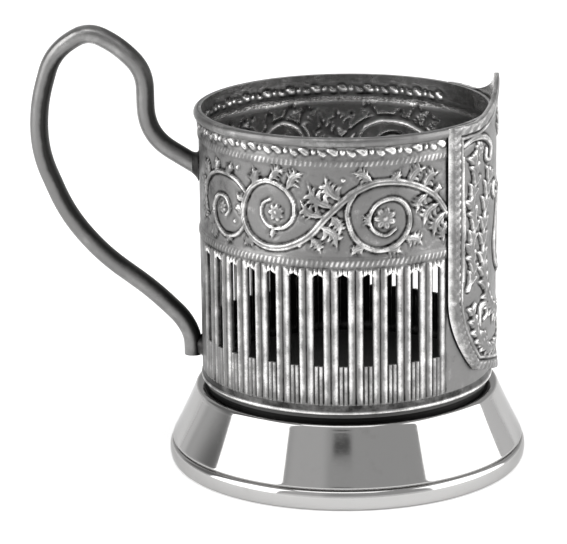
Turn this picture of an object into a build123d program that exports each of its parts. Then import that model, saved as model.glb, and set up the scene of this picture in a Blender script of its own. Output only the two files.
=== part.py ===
# Podstakannik: a soldered sheet-metal holder for a straight-sided tea glass.
# Millimetres, Z up. The origin lies on the cup's axis, in the plane that the foot stands on.
# The handle points to -X and the front panel faces +X.
import os
from math import degrees, radians, sin, tan

from build123d import *

os.makedirs("parts", exist_ok=True)

# The glass and the fits
glass_radius = 33.0  # standard straight-sided tea glass
glass_clearance = 0.5  # room all round the glass
solder_gap = 0.1  # film of solder between fitted sheets

# The foot, a spun bell on a rounded band
foot_height = 18.5  # table to the top of the deck
foot_wall = 1.0  # sheet of the bell
shoulder_ledge = 1.4  # how far the bell's top edge stands out past the sleeve
foot_spread = 6.3  # bell's top edge to its hem, outward
shoulder_bevel = 0.8  # bevel between the deck and the bell's flank
deck_ledge = 2.9  # how far the deck reaches inside the neck ring
ring_height = 5.0  # rounded band below the bell
ring_bulge = 0.5  # how far the band swells past the bell
ring_wall = 1.6  # thickness of the band at its top
ring_tuck = 0.5  # how far the band draws in at the table

# The neck and the floor
neck_inset = 1.2  # how far the ring in the dark groove stays behind the sleeve's outside
neck_wall = 1.2
neck_height = 1.1
floor_thickness = 0.8
floor_inset = 0.4  # how far the floor stays behind the sleeve's outside
floor_bevel = 0.3  # fall of the floor's upper edge, which takes the solder under the sleeve

# The rolled sleeve
sleeve_wall = 0.8
sleeve_height = 64.9
seam_width = 0.6  # open butt seam behind the handle
rib_depth = 0.35  # how proud the embossed border ribs stand
rib_root = 0.3  # how deep the ribs are rooted in the wall
hem_rib_width = 2.0  # rib along the sleeve's lower edge
border_rib_width = 1.7  # rib between the piano keys and the plain field above them
border_rib_rise = 36.2  # lower edge of the sleeve to that rib's middle

# The pierced piano keys
key_count = 12  # slots on each side
key_slot_width = 2.1
key_slot_height = 21.7
key_slot_rise = 11.6  # lower edge of the sleeve to the slots
key_slot_arch = 0.6  # cut across the slot's upper corners
panel_key_margin = 0.65  # degrees between the panel and the first key's field
handle_key_margin = 19.35  # degrees kept plain on each side of the handle

# The rim band
rim_band_height = 2.1
rim_band_depth = 0.9
rim_band_edge = 0.2  # depth of the band at its upper and lower edges

# The front panel, a shield with a crest
panel_half_angle = 46.0  # degrees from the middle to the straight sides
panel_toe_angle = 30.7  # degrees to the lower corners
panel_plate = 0.7
panel_border_depth = 0.55
panel_border_width = 2.2
panel_end_angle = 0.4  # degrees between the panel's sides and the ends of the rim band
panel_tip_rise = 1.0  # lower edge of the sleeve to the shield's point
panel_toe_rise = 5.8  # and to its lower corners
panel_waist_rise = 24.6  # and to the lower end of its straight sides
crest_rise = 7.4  # rim to the tip of the crest
crest_half_width = 17.5
crest_flank_width = 6.4  # half width part of the way up the crest
crest_flank_rise = 3.9
crest_tip_half_width = 0.7

# The handle, a strap with a crowned back
strap_width = 5.6
strap_thickness = 4.2
strap_crown_width = 2.4  # flat of the crowned back
strap_crown_depth = 1.6  # how far the back falls off to the sides
strap_bevel = 0.5  # bevel of the inner edges
bend_share = 0.48  # share of the shorter run that each bend takes up
joint_drop = 14.7  # rim to the upper joint
loop_corners = [(12.2, -7.1), (12.3, 8.2), (18.4, 14.3), (25.4, 17.9), (33.7, 12.6), (37.4, 0.0),
                (37.4, -11.3)]  # out from the sleeve, above the rim
tail_corners = [(31.4, 38.8), (23.4, 29.0), (11.5, 20.1), (4.5, 13.2)]  # out, above the lower edge
lap_top_rise = 8.8  # lower edge of the sleeve to the top of the lap
lap_end_rise = 4.2  # and to the strap's end
solder_leg = 1.0  # size of the solder beads at the handle

# Sizes that follow from those above
bore_radius = glass_radius + glass_clearance
sleeve_outer = bore_radius + sleeve_wall
seam_angle = degrees(seam_width / sleeve_outer)
seat_radius = bore_radius - solder_gap
neck_radius = sleeve_outer - neck_inset
deck_hole_radius = neck_radius - neck_wall - deck_ledge
foot_shoulder_radius = sleeve_outer + shoulder_ledge
foot_hem_radius = foot_shoulder_radius + foot_spread
flank_slope = foot_spread / (foot_height - ring_height)
floor_bottom = foot_height + neck_height
sleeve_bottom = floor_bottom + floor_thickness
rim_z = sleeve_bottom + sleeve_height
solder_radius = sleeve_outer + solder_gap
panel_inner = sleeve_outer + rib_depth + solder_gap
panel_outer = panel_inner + panel_plate + panel_border_depth
panel_half_width = panel_inner * sin(radians(panel_half_angle))
panel_toe_half_width = panel_inner * sin(radians(panel_toe_angle))
key_field = 180 - handle_key_margin - panel_half_angle - panel_key_margin
key_pitch = key_field / key_count
first_key = panel_half_angle + panel_key_margin + key_pitch / 2
key_span = key_pitch * (key_count - 1)
rib_middles = [(sleeve_bottom + hem_rib_width / 2, hem_rib_width),
               (sleeve_bottom + border_rib_rise, border_rib_width)]


def shield_lines(inset, crest):
    """Half of the shield's outline, from its lower point to its upper middle."""
    tip = (0, sleeve_bottom + panel_tip_rise + inset)
    toe = (panel_toe_half_width - inset, sleeve_bottom + panel_toe_rise + inset)
    waist = (panel_half_width - inset, sleeve_bottom + panel_waist_rise)
    corner = (panel_half_width - inset, rim_z - inset)
    side = Line(corner, waist)
    flank = TangentArc(waist, toe, tangent=side % 1)
    Line(flank @ 1, tip)
    if crest:
        foot = (crest_half_width, rim_z)
        tip_edge = (crest_tip_half_width, rim_z + crest_rise)
        Line(corner, foot)
        ThreePointArc(foot, (crest_flank_width, rim_z + crest_flank_rise), tip_edge)
        Line(tip_edge, (0, rim_z + crest_rise))
    else:
        Line(corner, (0, rim_z - inset))


def shield_blank(inset=0.0, crest=True):
    """A straight prism of the shield's outline, from the cup's axis outward."""
    with BuildPart() as blank:
        with BuildSketch(Plane.YZ):
            with BuildLine():
                shield_lines(inset, crest)
                mirror(about=Plane.YZ)
            make_face()
        extrude(amount=panel_outer + panel_plate)
    return blank.part


# One piano key's slot, square below and with its upper corners taken off
with BuildPart() as key_slot:
    with BuildSketch(Plane.YZ.offset(bore_radius - sleeve_wall)):
        with Locations((0, sleeve_bottom + key_slot_rise)):
            opening = Rectangle(key_slot_width, key_slot_height, align=(Align.CENTER, Align.MIN))
        chamfer(opening.vertices().group_by(Axis.Y)[-1], length=key_slot_arch)
    extrude(amount=3 * sleeve_wall)

# Rolled sleeve with its ribs and pierced keys, from one lip of the seam round to the other
with BuildPart() as sleeve:
    with BuildSketch(Plane.XZ.rotated((0, 0, 180 + seam_angle / 2))):
        with Locations((bore_radius, sleeve_bottom)):
            Rectangle(sleeve_wall, sleeve_height, align=(Align.MIN, Align.MIN))
        for middle, width in rib_middles:
            with BuildLine():
                Polyline((sleeve_outer - rib_root, middle - width / 2), (sleeve_outer, middle - width / 2),
                         (sleeve_outer + rib_depth, middle), (sleeve_outer, middle + width / 2),
                         (sleeve_outer - rib_root, middle + width / 2), close=True)
            make_face()
    revolve(axis=Axis.Z, revolution_arc=360 - seam_angle)
    with PolarLocations(0, key_count, first_key, key_span, endpoint=True):
        add(key_slot.part, mode=Mode.SUBTRACT)
    with PolarLocations(0, key_count, -first_key - key_span, key_span, endpoint=True):
        add(key_slot.part, mode=Mode.SUBTRACT)
sleeve.part.label = "sleeve"
export_step(sleeve.part, "parts/sleeve.step")

# Solder that fills the seam, just short of both faces of the wall
with BuildPart() as sleeve_seam_solder:
    with BuildSketch(Plane.XY.offset(sleeve_bottom)):
        with Locations((-bore_radius - sleeve_wall / 2, 0)):
            Rectangle(sleeve_wall - 2 * solder_gap, seam_width - 2 * solder_gap)
    extrude(amount=sleeve_height)
sleeve_seam_solder.part.label = "sleeve_seam_solder"
export_step(sleeve_seam_solder.part, "parts/sleeve_seam_solder.step")

# Rounded band round the mouth, from one side of the front panel round to the other
band_start = panel_half_angle + panel_end_angle
with BuildPart() as rim_band:
    with BuildSketch(Plane.XZ.rotated((0, 0, band_start))):
        with BuildLine():
            middle = rim_z - rim_band_height / 2
            edge = solder_radius + rim_band_edge
            face = solder_radius + rim_band_depth
            Polyline((solder_radius, rim_z), (edge, rim_z), (face, middle), (edge, rim_z - rim_band_height),
                     (solder_radius, rim_z - rim_band_height), close=True)
        make_face()
    revolve(axis=Axis.Z, revolution_arc=360 - 2 * band_start)
rim_band.part.label = "rim_band"
export_step(rim_band.part, "parts/rim_band.step")

# Shield that the front panel's border stands round
with BuildPart() as panel_field:
    add(shield_blank(inset=panel_border_width, crest=False))
    with BuildSketch(Plane.XY):
        Circle(panel_inner + panel_plate)
    extrude(amount=rim_z + crest_rise, mode=Mode.SUBTRACT)

# Front panel: a curved plate with a crest and a sunk field
with BuildPart() as front_panel:
    add(shield_blank())
    with BuildSketch(Plane.XY):
        Circle(panel_outer)
        Circle(panel_inner, mode=Mode.SUBTRACT)
    extrude(amount=rim_z + 2 * crest_rise, mode=Mode.INTERSECT)
    add(panel_field.part, mode=Mode.SUBTRACT)
front_panel.part.label = "front_panel"
export_step(front_panel.part, "parts/front_panel.step")


def bend_radii(corners):
    """Radius at each inner corner, so that every bend fills its share of the shorter run."""
    points = [Vector(*corner) for corner in corners]
    runs = [end - start for start, end in zip(points, points[1:])]
    radii = []
    for before, after in zip(runs, runs[1:]):
        turn = radians(before.get_angle(after))
        radii.append(bend_share * min(before.length, after.length) / tan(turn / 2))
    return radii


# Middle line of the handle, from inside the wall at the upper joint to the end of the lap
lap_x = -(solder_radius + solder_gap + strap_thickness / 2)
joint = Vector(-sleeve_outer, rim_z - joint_drop)
first_corner = Vector(-sleeve_outer - loop_corners[0][0], rim_z + loop_corners[0][1])
inward = (joint - first_corner).normalized()
root = joint + inward * strap_thickness
route_corners = [(root.X, root.Y)]
route_corners += [(-sleeve_outer - out, rim_z + rise) for out, rise in loop_corners]
route_corners += [(-sleeve_outer - out, sleeve_bottom + rise) for out, rise in tail_corners]
route_corners += [(lap_x, sleeve_bottom + lap_top_rise), (lap_x, sleeve_bottom + lap_end_rise)]
with BuildLine(Plane.XZ) as route:
    FilletPolyline(*route_corners, radius=bend_radii(route_corners))
strap_plane = Plane(origin=route.line @ 0, x_dir=(0, 1, 0), z_dir=route.line % 0)


# Bent strap, flat towards the hand and crowned outside, cut to the sleeve's curve
with BuildPart() as handle:
    with BuildSketch(strap_plane):
        with BuildLine():
            crown = -strap_thickness / 2
            half = [(strap_crown_width / 2, crown), (strap_width / 2, crown + strap_crown_depth),
                    (strap_width / 2, strap_thickness / 2 - strap_bevel),
                    (strap_width / 2 - strap_bevel, strap_thickness / 2)]
            Polyline(*half, *[(-across, up) for across, up in reversed(half)], close=True)
        make_face()
    sweep(path=route.line)
    with BuildSketch(Plane.XY):
        Circle(solder_radius)
    extrude(amount=rim_z, mode=Mode.SUBTRACT)
handle.part.label = "handle"
export_step(handle.part, "parts/handle.step")

# Collar of solder round the upper foot of the strap
with BuildPart() as handle_upper_solder:
    with BuildSketch(strap_plane):
        Rectangle(strap_width + 2 * solder_leg, strap_thickness + 2 * solder_leg)
    extrude(amount=strap_thickness + 2 * solder_leg)
    outer_face = handle_upper_solder.faces().sort_by(Axis(strap_plane.origin, strap_plane.z_dir))[-1]
    chamfer(outer_face.edges(), length=solder_leg / 2)
    with BuildSketch(Plane.XY):
        Circle(solder_radius)
    extrude(amount=rim_z, mode=Mode.SUBTRACT)
    add(handle.part, mode=Mode.SUBTRACT)
handle_upper_solder.part.label = "handle_upper_solder"
export_step(handle_upper_solder.part, "parts/handle_upper_solder.step")

# Two beads of solder along the sides of the lap
with BuildPart() as handle_lower_solder:
    with BuildSketch(Plane.XY.offset(sleeve_bottom + lap_end_rise)):
        with BuildLine():
            Polyline((-solder_radius - 2 * solder_leg, strap_width / 2 + solder_gap),
                     (-solder_radius + solder_leg, strap_width / 2 + solder_gap),
                     (-solder_radius + solder_leg, strap_width / 2 + 3 * solder_leg), close=True)
        make_face()
        mirror(about=Plane.XZ)
    extrude(amount=lap_top_rise - lap_end_rise)
    with BuildSketch(Plane.XY):
        Circle(solder_radius)
    extrude(amount=rim_z, mode=Mode.SUBTRACT)
handle_lower_solder.part.label = "handle_lower_solder"
export_step(handle_lower_solder.part, "parts/handle_lower_solder.step")

# Floor disc that the glass stands on; the sleeve stands on its bevelled edge
with BuildPart() as floor_plate:
    with BuildSketch(Plane.XZ):
        with BuildLine():
            floor_radius = sleeve_outer - floor_inset
            Polyline((0, floor_bottom), (floor_radius, floor_bottom),
                     (floor_radius, sleeve_bottom - floor_bevel), (seat_radius, sleeve_bottom),
                     (0, sleeve_bottom), close=True)
        make_face()
    revolve(axis=Axis.Z)
floor_plate.part.label = "floor_plate"
export_step(floor_plate.part, "parts/floor_plate.step")

# Neck ring between the deck of the foot and the floor
with BuildPart() as neck_ring:
    with BuildSketch(Plane.XY.offset(foot_height)):
        Circle(neck_radius)
        Circle(neck_radius - neck_wall, mode=Mode.SUBTRACT)
    extrude(amount=neck_height)
neck_ring.part.label = "neck_ring"
export_step(neck_ring.part, "parts/neck_ring.step")

# Spun bell of the foot: deck, bevelled shoulder and straight flank in one sheet
with BuildPart() as foot_skirt:
    with BuildSketch(Plane.XZ):
        with BuildLine():
            Polyline((deck_hole_radius, foot_height), (foot_shoulder_radius - shoulder_bevel, foot_height),
                     (foot_shoulder_radius + shoulder_bevel * flank_slope, foot_height - shoulder_bevel),
                     (foot_hem_radius, ring_height))
            offset(amount=foot_wall, side=Side.RIGHT, kind=Kind.INTERSECTION)
        make_face()
    revolve(axis=Axis.Z)
    with BuildSketch(Plane.XY):
        Circle(foot_hem_radius + foot_wall)
    extrude(amount=ring_height, mode=Mode.SUBTRACT)
foot_skirt.part.label = "foot_skirt"
export_step(foot_skirt.part, "parts/foot_skirt.step")

# Rounded band under the bell, with a flat ring to stand on
with BuildPart() as foot_ring:
    with BuildSketch(Plane.XZ):
        with BuildLine():
            Polyline((foot_hem_radius - ring_wall, 0), (foot_hem_radius - ring_tuck, 0),
                     (foot_hem_radius + ring_bulge, ring_height / 2), (foot_hem_radius, ring_height),
                     (foot_hem_radius - ring_wall, ring_height), close=True)
        make_face()
    revolve(axis=Axis.Z)
foot_ring.part.label = "foot_ring"
export_step(foot_ring.part, "parts/foot_ring.step")
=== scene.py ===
# %% [markdown]
# # Dressing a podstakannik
# A podstakannik is a metal holder for a hot glass of tea. This one is rolled, pressed and soldered
# from silver plated sheet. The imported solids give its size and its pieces; this lesson adds what the
# eye sees: pressed scrolls, reeded piano keys, a bent strap handle and a mirror bright foot.

import bpy
import numpy as np
from mathutils import Matrix


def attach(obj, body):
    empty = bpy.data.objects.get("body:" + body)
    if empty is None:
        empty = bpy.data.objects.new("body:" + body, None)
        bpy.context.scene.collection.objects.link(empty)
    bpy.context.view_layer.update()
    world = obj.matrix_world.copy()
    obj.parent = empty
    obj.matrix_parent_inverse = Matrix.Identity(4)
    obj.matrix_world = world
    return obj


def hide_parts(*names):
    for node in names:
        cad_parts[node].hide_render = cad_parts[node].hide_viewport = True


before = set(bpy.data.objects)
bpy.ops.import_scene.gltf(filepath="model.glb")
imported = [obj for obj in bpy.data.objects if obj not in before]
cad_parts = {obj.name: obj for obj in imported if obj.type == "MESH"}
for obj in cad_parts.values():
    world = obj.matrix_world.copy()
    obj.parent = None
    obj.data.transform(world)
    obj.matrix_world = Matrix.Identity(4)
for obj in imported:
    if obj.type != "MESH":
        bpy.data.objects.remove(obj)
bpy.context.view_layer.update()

print("nodes", sorted(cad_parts))

# %% [markdown]
# ## The sizes that the dressing follows
# All lengths below are millimetres, as on the drawing of the solids. Angles round the cup are counted
# in degrees from the middle of the front panel, so the handle lies at 180. The holder is the same on
# both sides, so most things are worked out for one side and mirrored.

# %% Sizes
MM = 0.001
BORE = 33.5
WALL_OUT = 34.3
SOLDER_OUT = 34.4
LOW_EDGE = 20.4
RIM = 85.3
SLOT_LOW, SLOT_HIGH = 32.0, 53.7
SLOT_WIDTH = 2.1
PANEL_SIDE = 46.0
KEYS_START = 46.65
KEY_PITCH = 9.5
KEY_COUNT = 12
KEYS_END = KEYS_START + KEY_PITCH * KEY_COUNT
SEAM_WIDTH = 0.6
SEAM_HALF = np.degrees(SEAM_WIDTH / 2 / WALL_OUT)
ARC = np.radians(SOLDER_OUT)
print("one degree on the wall is %.3f mm" % ARC)

# %% [markdown]
# ## Camera
# The camera stands where the photograph was taken from: a long lens, about 16 degrees above the table,
# looking at the side of the cup with the handle on the left. It is set first, so that everything made
# later can be judged in its view.

# %% Camera
CAMERA_AT = np.array([21.99, -699.65, 242.51])
CAMERA_YAW, CAMERA_PITCH, CAMERA_ROLL = -0.0525, 0.2751, -0.0136
LENS = 195.16


def camera_axes():
    """Right, up and forward directions of the camera."""
    cy, sy = np.cos(CAMERA_YAW), np.sin(CAMERA_YAW)
    cp, sp = np.cos(CAMERA_PITCH), np.sin(CAMERA_PITCH)
    forward = np.array([sy * cp, cy * cp, -sp])
    right = np.array([cy, -sy, 0.0])
    up = np.cross(right, forward)
    cr, sr = np.cos(CAMERA_ROLL), np.sin(CAMERA_ROLL)
    return cr * right + sr * up, cr * up - sr * right, forward


camera_data = bpy.data.cameras.new("camera")
camera_data.lens = LENS
camera_data.sensor_width = 36.0
camera_data.clip_start, camera_data.clip_end = 0.01, 200.0
camera = bpy.data.objects.new("camera", camera_data)
bpy.context.scene.collection.objects.link(camera)
right, up, forward = camera_axes()
placed = np.eye(4)
placed[:3] = np.stack([right, up, -forward, CAMERA_AT * MM], axis=1)
camera.matrix_world = Matrix(placed.tolist())
bpy.context.scene.camera = camera
bpy.context.scene.view_settings.view_transform = "Standard"
print("camera", [round(v, 3) for v in camera.location])

# %% [markdown]
# ## Finishes shared by several pieces
# Old silver is never one grey. Tarnish stays in the hollows and fingers rub the high places bright.
# The first node group turns a relief value, kept on the mesh, into such a colour and roughness. The
# second gives the fine dents and scratches of handled sheet, and the third the dull bloom of
# fingerprints. They are groups because every metal piece needs them with its own values.


# %% Node helpers
def add_node(tree, kind, **settings):
    """A new node with its settings applied."""
    node = tree.nodes.new(kind)
    for key, value in settings.items():
        setattr(node, key, value)
    return node


def math_node(tree, operation, a, b=None, clamp=False):
    """A Math node fed by sockets or plain numbers; returns its output."""
    node = add_node(tree, "ShaderNodeMath", operation=operation, use_clamp=clamp)
    for slot_number, value in enumerate((a, b)):
        if value is None:
            continue
        if isinstance(value, (int, float)):
            node.inputs[slot_number].default_value = value
        else:
            tree.links.new(value, node.inputs[slot_number])
    return node.outputs[0]


def remap(tree, value, low, high, to_low=0.0, to_high=1.0):
    """Smooth change from to_low to to_high while value goes from low to high."""
    node = add_node(tree, "ShaderNodeMapRange", interpolation_type="SMOOTHSTEP")
    tree.links.new(value, node.inputs["Value"])
    for name, number in (("From Min", low), ("From Max", high), ("To Min", to_low), ("To Max", to_high)):
        node.inputs[name].default_value = number
    return node.outputs["Result"]


def mix_colour(tree, factor, first, second):
    """Colour between two sockets by a factor socket."""
    node = add_node(tree, "ShaderNodeMix", data_type="RGBA")
    tree.links.new(factor, node.inputs["Factor"])
    colour_sockets = [socket for socket in node.inputs if socket.type == "RGBA"]
    for source, socket in zip((first, second), colour_sockets):
        tree.links.new(source, socket)
    return [socket for socket in node.outputs if socket.type == "RGBA"][0]


print("node helpers ready")

# %% Groups and noise
FLOAT, COLOUR = "NodeSocketFloat", "NodeSocketColor"


def new_group(name, inputs, outputs):
    """An empty shader node group with named sockets."""
    tree = bpy.data.node_groups.new(name, "ShaderNodeTree")
    for label, kind, value in inputs:
        socket = tree.interface.new_socket(name=label, in_out="INPUT", socket_type=kind)
        socket.default_value = value
    for label, kind in outputs:
        tree.interface.new_socket(name=label, in_out="OUTPUT", socket_type=kind)
    return tree, add_node(tree, "NodeGroupInput"), add_node(tree, "NodeGroupOutput")


def surface_noise(tree, scale, detail=4.0, roughness=0.55, stretch=(1.0, 1.0, 1.0)):
    """Noise in the object's own metres; returns its value output."""
    where = add_node(tree, "ShaderNodeTexCoord")
    mapping = add_node(tree, "ShaderNodeMapping")
    mapping.inputs["Scale"].default_value = stretch
    tree.links.new(where.outputs["Object"], mapping.inputs["Vector"])
    noise = add_node(tree, "ShaderNodeTexNoise")
    noise.inputs["Scale"].default_value = scale
    noise.inputs["Detail"].default_value = detail
    noise.inputs["Roughness"].default_value = roughness
    tree.links.new(mapping.outputs["Vector"], noise.inputs["Vector"])
    return noise.outputs[0]


print("groups take", FLOAT, "and", COLOUR)

# %% Rubbed relief group
GROOVE_LEVELS, CREST_LEVELS, SHINE_LEVELS = (0.12, 0.46), (0.52, 0.9), (0.2, 0.85)
GROOVE_ROUGH, CREST_ROUGH = 0.5, 0.22
rubbed, rubbed_in, rubbed_out = new_group(
    "rubbed relief",
    [("Relief", FLOAT, 0.5), ("Bright", COLOUR, (0.7, 0.7, 0.7, 1)), ("Ground", COLOUR, (0.3, 0.3, 0.3, 1)),
     ("Deep", COLOUR, (0.02, 0.02, 0.02, 1)), ("Unevenness", FLOAT, 0.2), ("Stipple", FLOAT, 0.0)],
    [("Colour", COLOUR), ("Roughness", FLOAT)])
cloud = math_node(rubbed, "SUBTRACT", surface_noise(rubbed, 420.0, detail=5.0, roughness=0.65), 0.5)
patch = math_node(rubbed, "SUBTRACT", surface_noise(rubbed, 240.0, detail=2.0, roughness=0.5), 0.5)
uneven = math_node(rubbed, "ADD", math_node(rubbed, "MULTIPLY", cloud, 0.8), patch)
shift = math_node(rubbed, "MULTIPLY", uneven, rubbed_in.outputs["Unevenness"])
punched = add_node(rubbed, "ShaderNodeTexVoronoi")
punched.inputs["Scale"].default_value = 2100.0
rubbed.links.new(add_node(rubbed, "ShaderNodeTexCoord").outputs["Object"], punched.inputs["Vector"])
dots = math_node(rubbed, "MULTIPLY", remap(rubbed, punched.outputs["Distance"], 0.1, 0.5, 1.0, 0.0),
                 rubbed_in.outputs["Stipple"])
level = math_node(rubbed, "SUBTRACT", math_node(rubbed, "ADD", rubbed_in.outputs["Relief"], shift), dots)
out_of_groove = remap(rubbed, level, *GROOVE_LEVELS)
rubbed_bright = remap(rubbed, level, *CREST_LEVELS)
toned = mix_colour(rubbed, out_of_groove, rubbed_in.outputs["Deep"], rubbed_in.outputs["Ground"])
toned = mix_colour(rubbed, rubbed_bright, toned, rubbed_in.outputs["Bright"])
rubbed.links.new(toned, rubbed_out.inputs["Colour"])
dullness = remap(rubbed, level, *SHINE_LEVELS, to_low=GROOVE_ROUGH, to_high=CREST_ROUGH)
rubbed.links.new(dullness, rubbed_out.inputs["Roughness"])
print("group", rubbed.name, len(rubbed.nodes), "nodes")

# %% Fine marks group
marks, marks_in, marks_out = new_group(
    "fine marks", [("Grain", FLOAT, 1.0), ("Scratches", FLOAT, 1.0)], [("Height", FLOAT)])
grain = math_node(marks, "MULTIPLY", surface_noise(marks, 1900.0, detail=3.0), marks_in.outputs["Grain"])
hairlines = surface_noise(marks, 520.0, detail=2.0, roughness=0.5, stretch=(1.0, 1.0, 9.0))
streaks = remap(marks, hairlines, 0.57, 0.63)
cut = math_node(marks, "MULTIPLY", streaks, marks_in.outputs["Scratches"])
marks.links.new(math_node(marks, "SUBTRACT", grain, cut), marks_out.inputs["Height"])
print("group", marks.name, len(marks.nodes), "nodes")

# %% Fingerprint bloom group
bloom, bloom_in, bloom_out = new_group(
    "fingerprint bloom", [("Base", FLOAT, 0.1), ("Amount", FLOAT, 0.1)], [("Roughness", FLOAT)])
patches = remap(bloom, surface_noise(bloom, 95.0, detail=6.0, roughness=0.65), 0.45, 0.75)
added = math_node(bloom, "MULTIPLY", patches, bloom_in.outputs["Amount"])
bloom.links.new(math_node(bloom, "ADD", bloom_in.outputs["Base"], added), bloom_out.inputs["Roughness"])
print("group", bloom.name, len(bloom.nodes), "nodes")


# %% [markdown]
# ## Metal materials
# On the sleeve, the strap and the solder the same value also carries painted highlights and painted shade.
# Every material is a metallic Principled shader. The pressed pieces, the strap and the solder read a
# point attribute called relief, which is low in the grooves and high on the crests, and mix three greys
# by it. A painted picture of the tarnish would need an unwrapped mesh; a value on the points needs none.
# Polished and plain pieces take a steady grey and let the fingerprint group stir their roughness.

# %% Metal shader with fine marks
def group_node(tree, group, **values):
    """Place a node group and set its inputs."""
    node = add_node(tree, "ShaderNodeGroup", node_tree=group)
    for name, value in values.items():
        node.inputs[name].default_value = value
    return node


def metal(name):
    """A material with a metallic Principled shader; returns the material, its tree and the shader."""
    material = bpy.data.materials.new(name)
    material.use_nodes = True
    shader = material.node_tree.nodes["Principled BSDF"]
    shader.inputs["Metallic"].default_value = 1.0
    return material, material.node_tree, shader


def marked(tree, shader, grain, scratches, distance):
    """Drive the shader's normal by the fine marks."""
    fine_node = group_node(tree, marks, Grain=grain, Scratches=scratches)
    bump = add_node(tree, "ShaderNodeBump")
    bump.inputs["Strength"].default_value = 0.6
    bump.inputs["Distance"].default_value = distance
    tree.links.new(fine_node.outputs["Height"], bump.inputs["Height"])
    tree.links.new(bump.outputs["Normal"], shader.inputs["Normal"])


def grey(value, warmth=0.0):
    """A neutral grey, slightly warm if asked."""
    return (value * (1 + warmth), value, value * (1 - warmth), 1.0)


print("metal shader ready")


# %% Relief metal and plain metal
def relief_metal(name, bright, ground, deep, unevenness, stipple, grain):
    """Silver that is dark in its hollows and rubbed bright on its crests."""
    material, tree, shader = metal(name)
    relief = add_node(tree, "ShaderNodeAttribute", attribute_name="relief")
    tone = group_node(tree, rubbed, Bright=grey(bright, 0.01), Ground=grey(ground, 0.01),
                      Deep=grey(deep, 0.02), Unevenness=unevenness, Stipple=stipple)
    tree.links.new(relief.outputs["Fac"], tone.inputs["Relief"])
    tree.links.new(tone.outputs["Colour"], shader.inputs["Base Color"])
    tree.links.new(tone.outputs["Roughness"], shader.inputs["Roughness"])
    marked(tree, shader, grain, scratches=0.25, distance=0.00008)
    return material


def plain_metal(name, value, roughness, stain, grain, scratches):
    """Plain metal with fingerprints and a slightly cloudy colour."""
    material, tree, shader = metal(name)
    dull = group_node(tree, bloom, Base=roughness, Amount=stain)
    tree.links.new(dull.outputs["Roughness"], shader.inputs["Roughness"])
    tone = group_node(tree, rubbed, Bright=grey(value * 1.06), Ground=grey(value, 0.01),
                      Deep=grey(value * 0.8, 0.02), Unevenness=0.5)
    tree.links.new(tone.outputs["Colour"], shader.inputs["Base Color"])
    marked(tree, shader, grain, scratches, distance=0.00005)
    return material


print("two kinds of metal ready")

# %% Finishes of the holder
sleeve_silver = relief_metal("sleeve silver", bright=0.85, ground=0.195, deep=0.02,
                             unevenness=0.42, stipple=0.05, grain=0.7)
strap_silver = relief_metal("strap silver", bright=0.55, ground=0.20, deep=0.04,
                            unevenness=0.25, stipple=0.0, grain=0.4)
solder_grey = relief_metal("solder grey", bright=0.36, ground=0.14, deep=0.035,
                           unevenness=0.3, stipple=0.0, grain=0.8)
foot_mirror = plain_metal("foot mirror", value=0.45, roughness=0.06, stain=0.10,
                          grain=0.008, scratches=0.012)
foot_mirror.node_tree.nodes["Principled BSDF"].inputs["Specular Tint"].default_value = (0.7, 0.7, 0.7, 1)
# The floor disc's near black is painted shade for the inside of the cup.
disc_shade_metal = plain_metal("disc shade", value=0.075, roughness=0.45, stain=0.2, grain=0.6, scratches=0.3)
print("materials", [m.name for m in bpy.data.materials])


# %% [markdown]
# ## From numbers to a piece
# Every shape below is worked out as an array of points and a list of faces. One function turns them
# into a closed mesh, keeps its relief value on the points, tells the frame which body it rides on
# and hides the solid it stands for. Modifiers could shape some of the pieces, but with arrays every edge
# lies just where the drawing puts it.

# %% Piece maker
def make_piece(name, points, faces, material, node_names, relief=None, crease=50.0):
    """Link a mesh piece that replaces CAD nodes on the one rigid body."""
    mesh = bpy.data.meshes.new(name)
    mesh.from_pydata((np.asarray(points) * MM).tolist(), [], faces)
    mesh.polygons.foreach_set("use_smooth", np.ones(len(mesh.polygons), dtype=bool))
    mesh.set_sharp_from_angle(angle=np.radians(crease))
    if relief is not None:
        kept = mesh.attributes.new("relief", "FLOAT", "POINT")
        kept.data.foreach_set("value", np.asarray(relief, dtype=np.float32))
    mesh.materials.append(material)
    piece = bpy.data.objects.new(name, mesh)
    bpy.context.scene.collection.objects.link(piece)
    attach(piece, "root")
    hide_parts(*node_names)
    print(name, len(mesh.vertices), "points", len(mesh.polygons), "faces")


print("piece maker ready")


# %% Faces and lines
def grid_faces(columns, rows, start=0, flip=False, keep=None):
    """Quads of a grid whose points run row by row inside each column."""
    i, j = np.meshgrid(np.arange(columns - 1), np.arange(rows - 1), indexing="ij")
    if keep is not None:
        i, j = i[keep], j[keep]
    a = start + i * rows + j
    quad = np.stack([a, a + rows, a + rows + 1, a + 1], axis=-1).reshape(-1, 4)
    return (quad[:, ::-1] if flip else quad).tolist()


def loop_faces(sections, count, closed=False, flip=False):
    """Quads between sections that are closed loops. The row is closed too, or gets a cap at each end."""
    i, j = np.meshgrid(np.arange(sections if closed else sections - 1), np.arange(count), indexing="ij")
    after, along = (i + 1) % sections, (j + 1) % count
    quad = np.stack([i * count + j, after * count + j, after * count + along, i * count + along], axis=-1)
    faces = (quad[..., [0, 3, 2, 1]] if flip else quad).reshape(-1, 4).tolist()
    if not closed:
        faces += [list(range(count)), [(sections - 1) * count + k for k in range(count - 1, -1, -1)]]
    return faces


def smooth_line(corners, per_span=12):
    """A smooth curve that passes through every one of the given points."""
    p = np.asarray(corners, dtype=float)
    p = np.vstack([2 * p[0] - p[1], p, 2 * p[-1] - p[-2]])
    t = np.linspace(0, 1, per_span, endpoint=False)[:, None]
    spans = []
    for a, b, c, d in zip(p, p[1:], p[2:], p[3:]):
        spans.append(0.5 * (2 * b + (c - a) * t + (2 * a - 5 * b + 4 * c - d) * t ** 2
                            + (3 * b - a - 3 * c + d) * t ** 3))
    return np.vstack(spans + [p[-2:-1]])


print("faces and lines ready")


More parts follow.
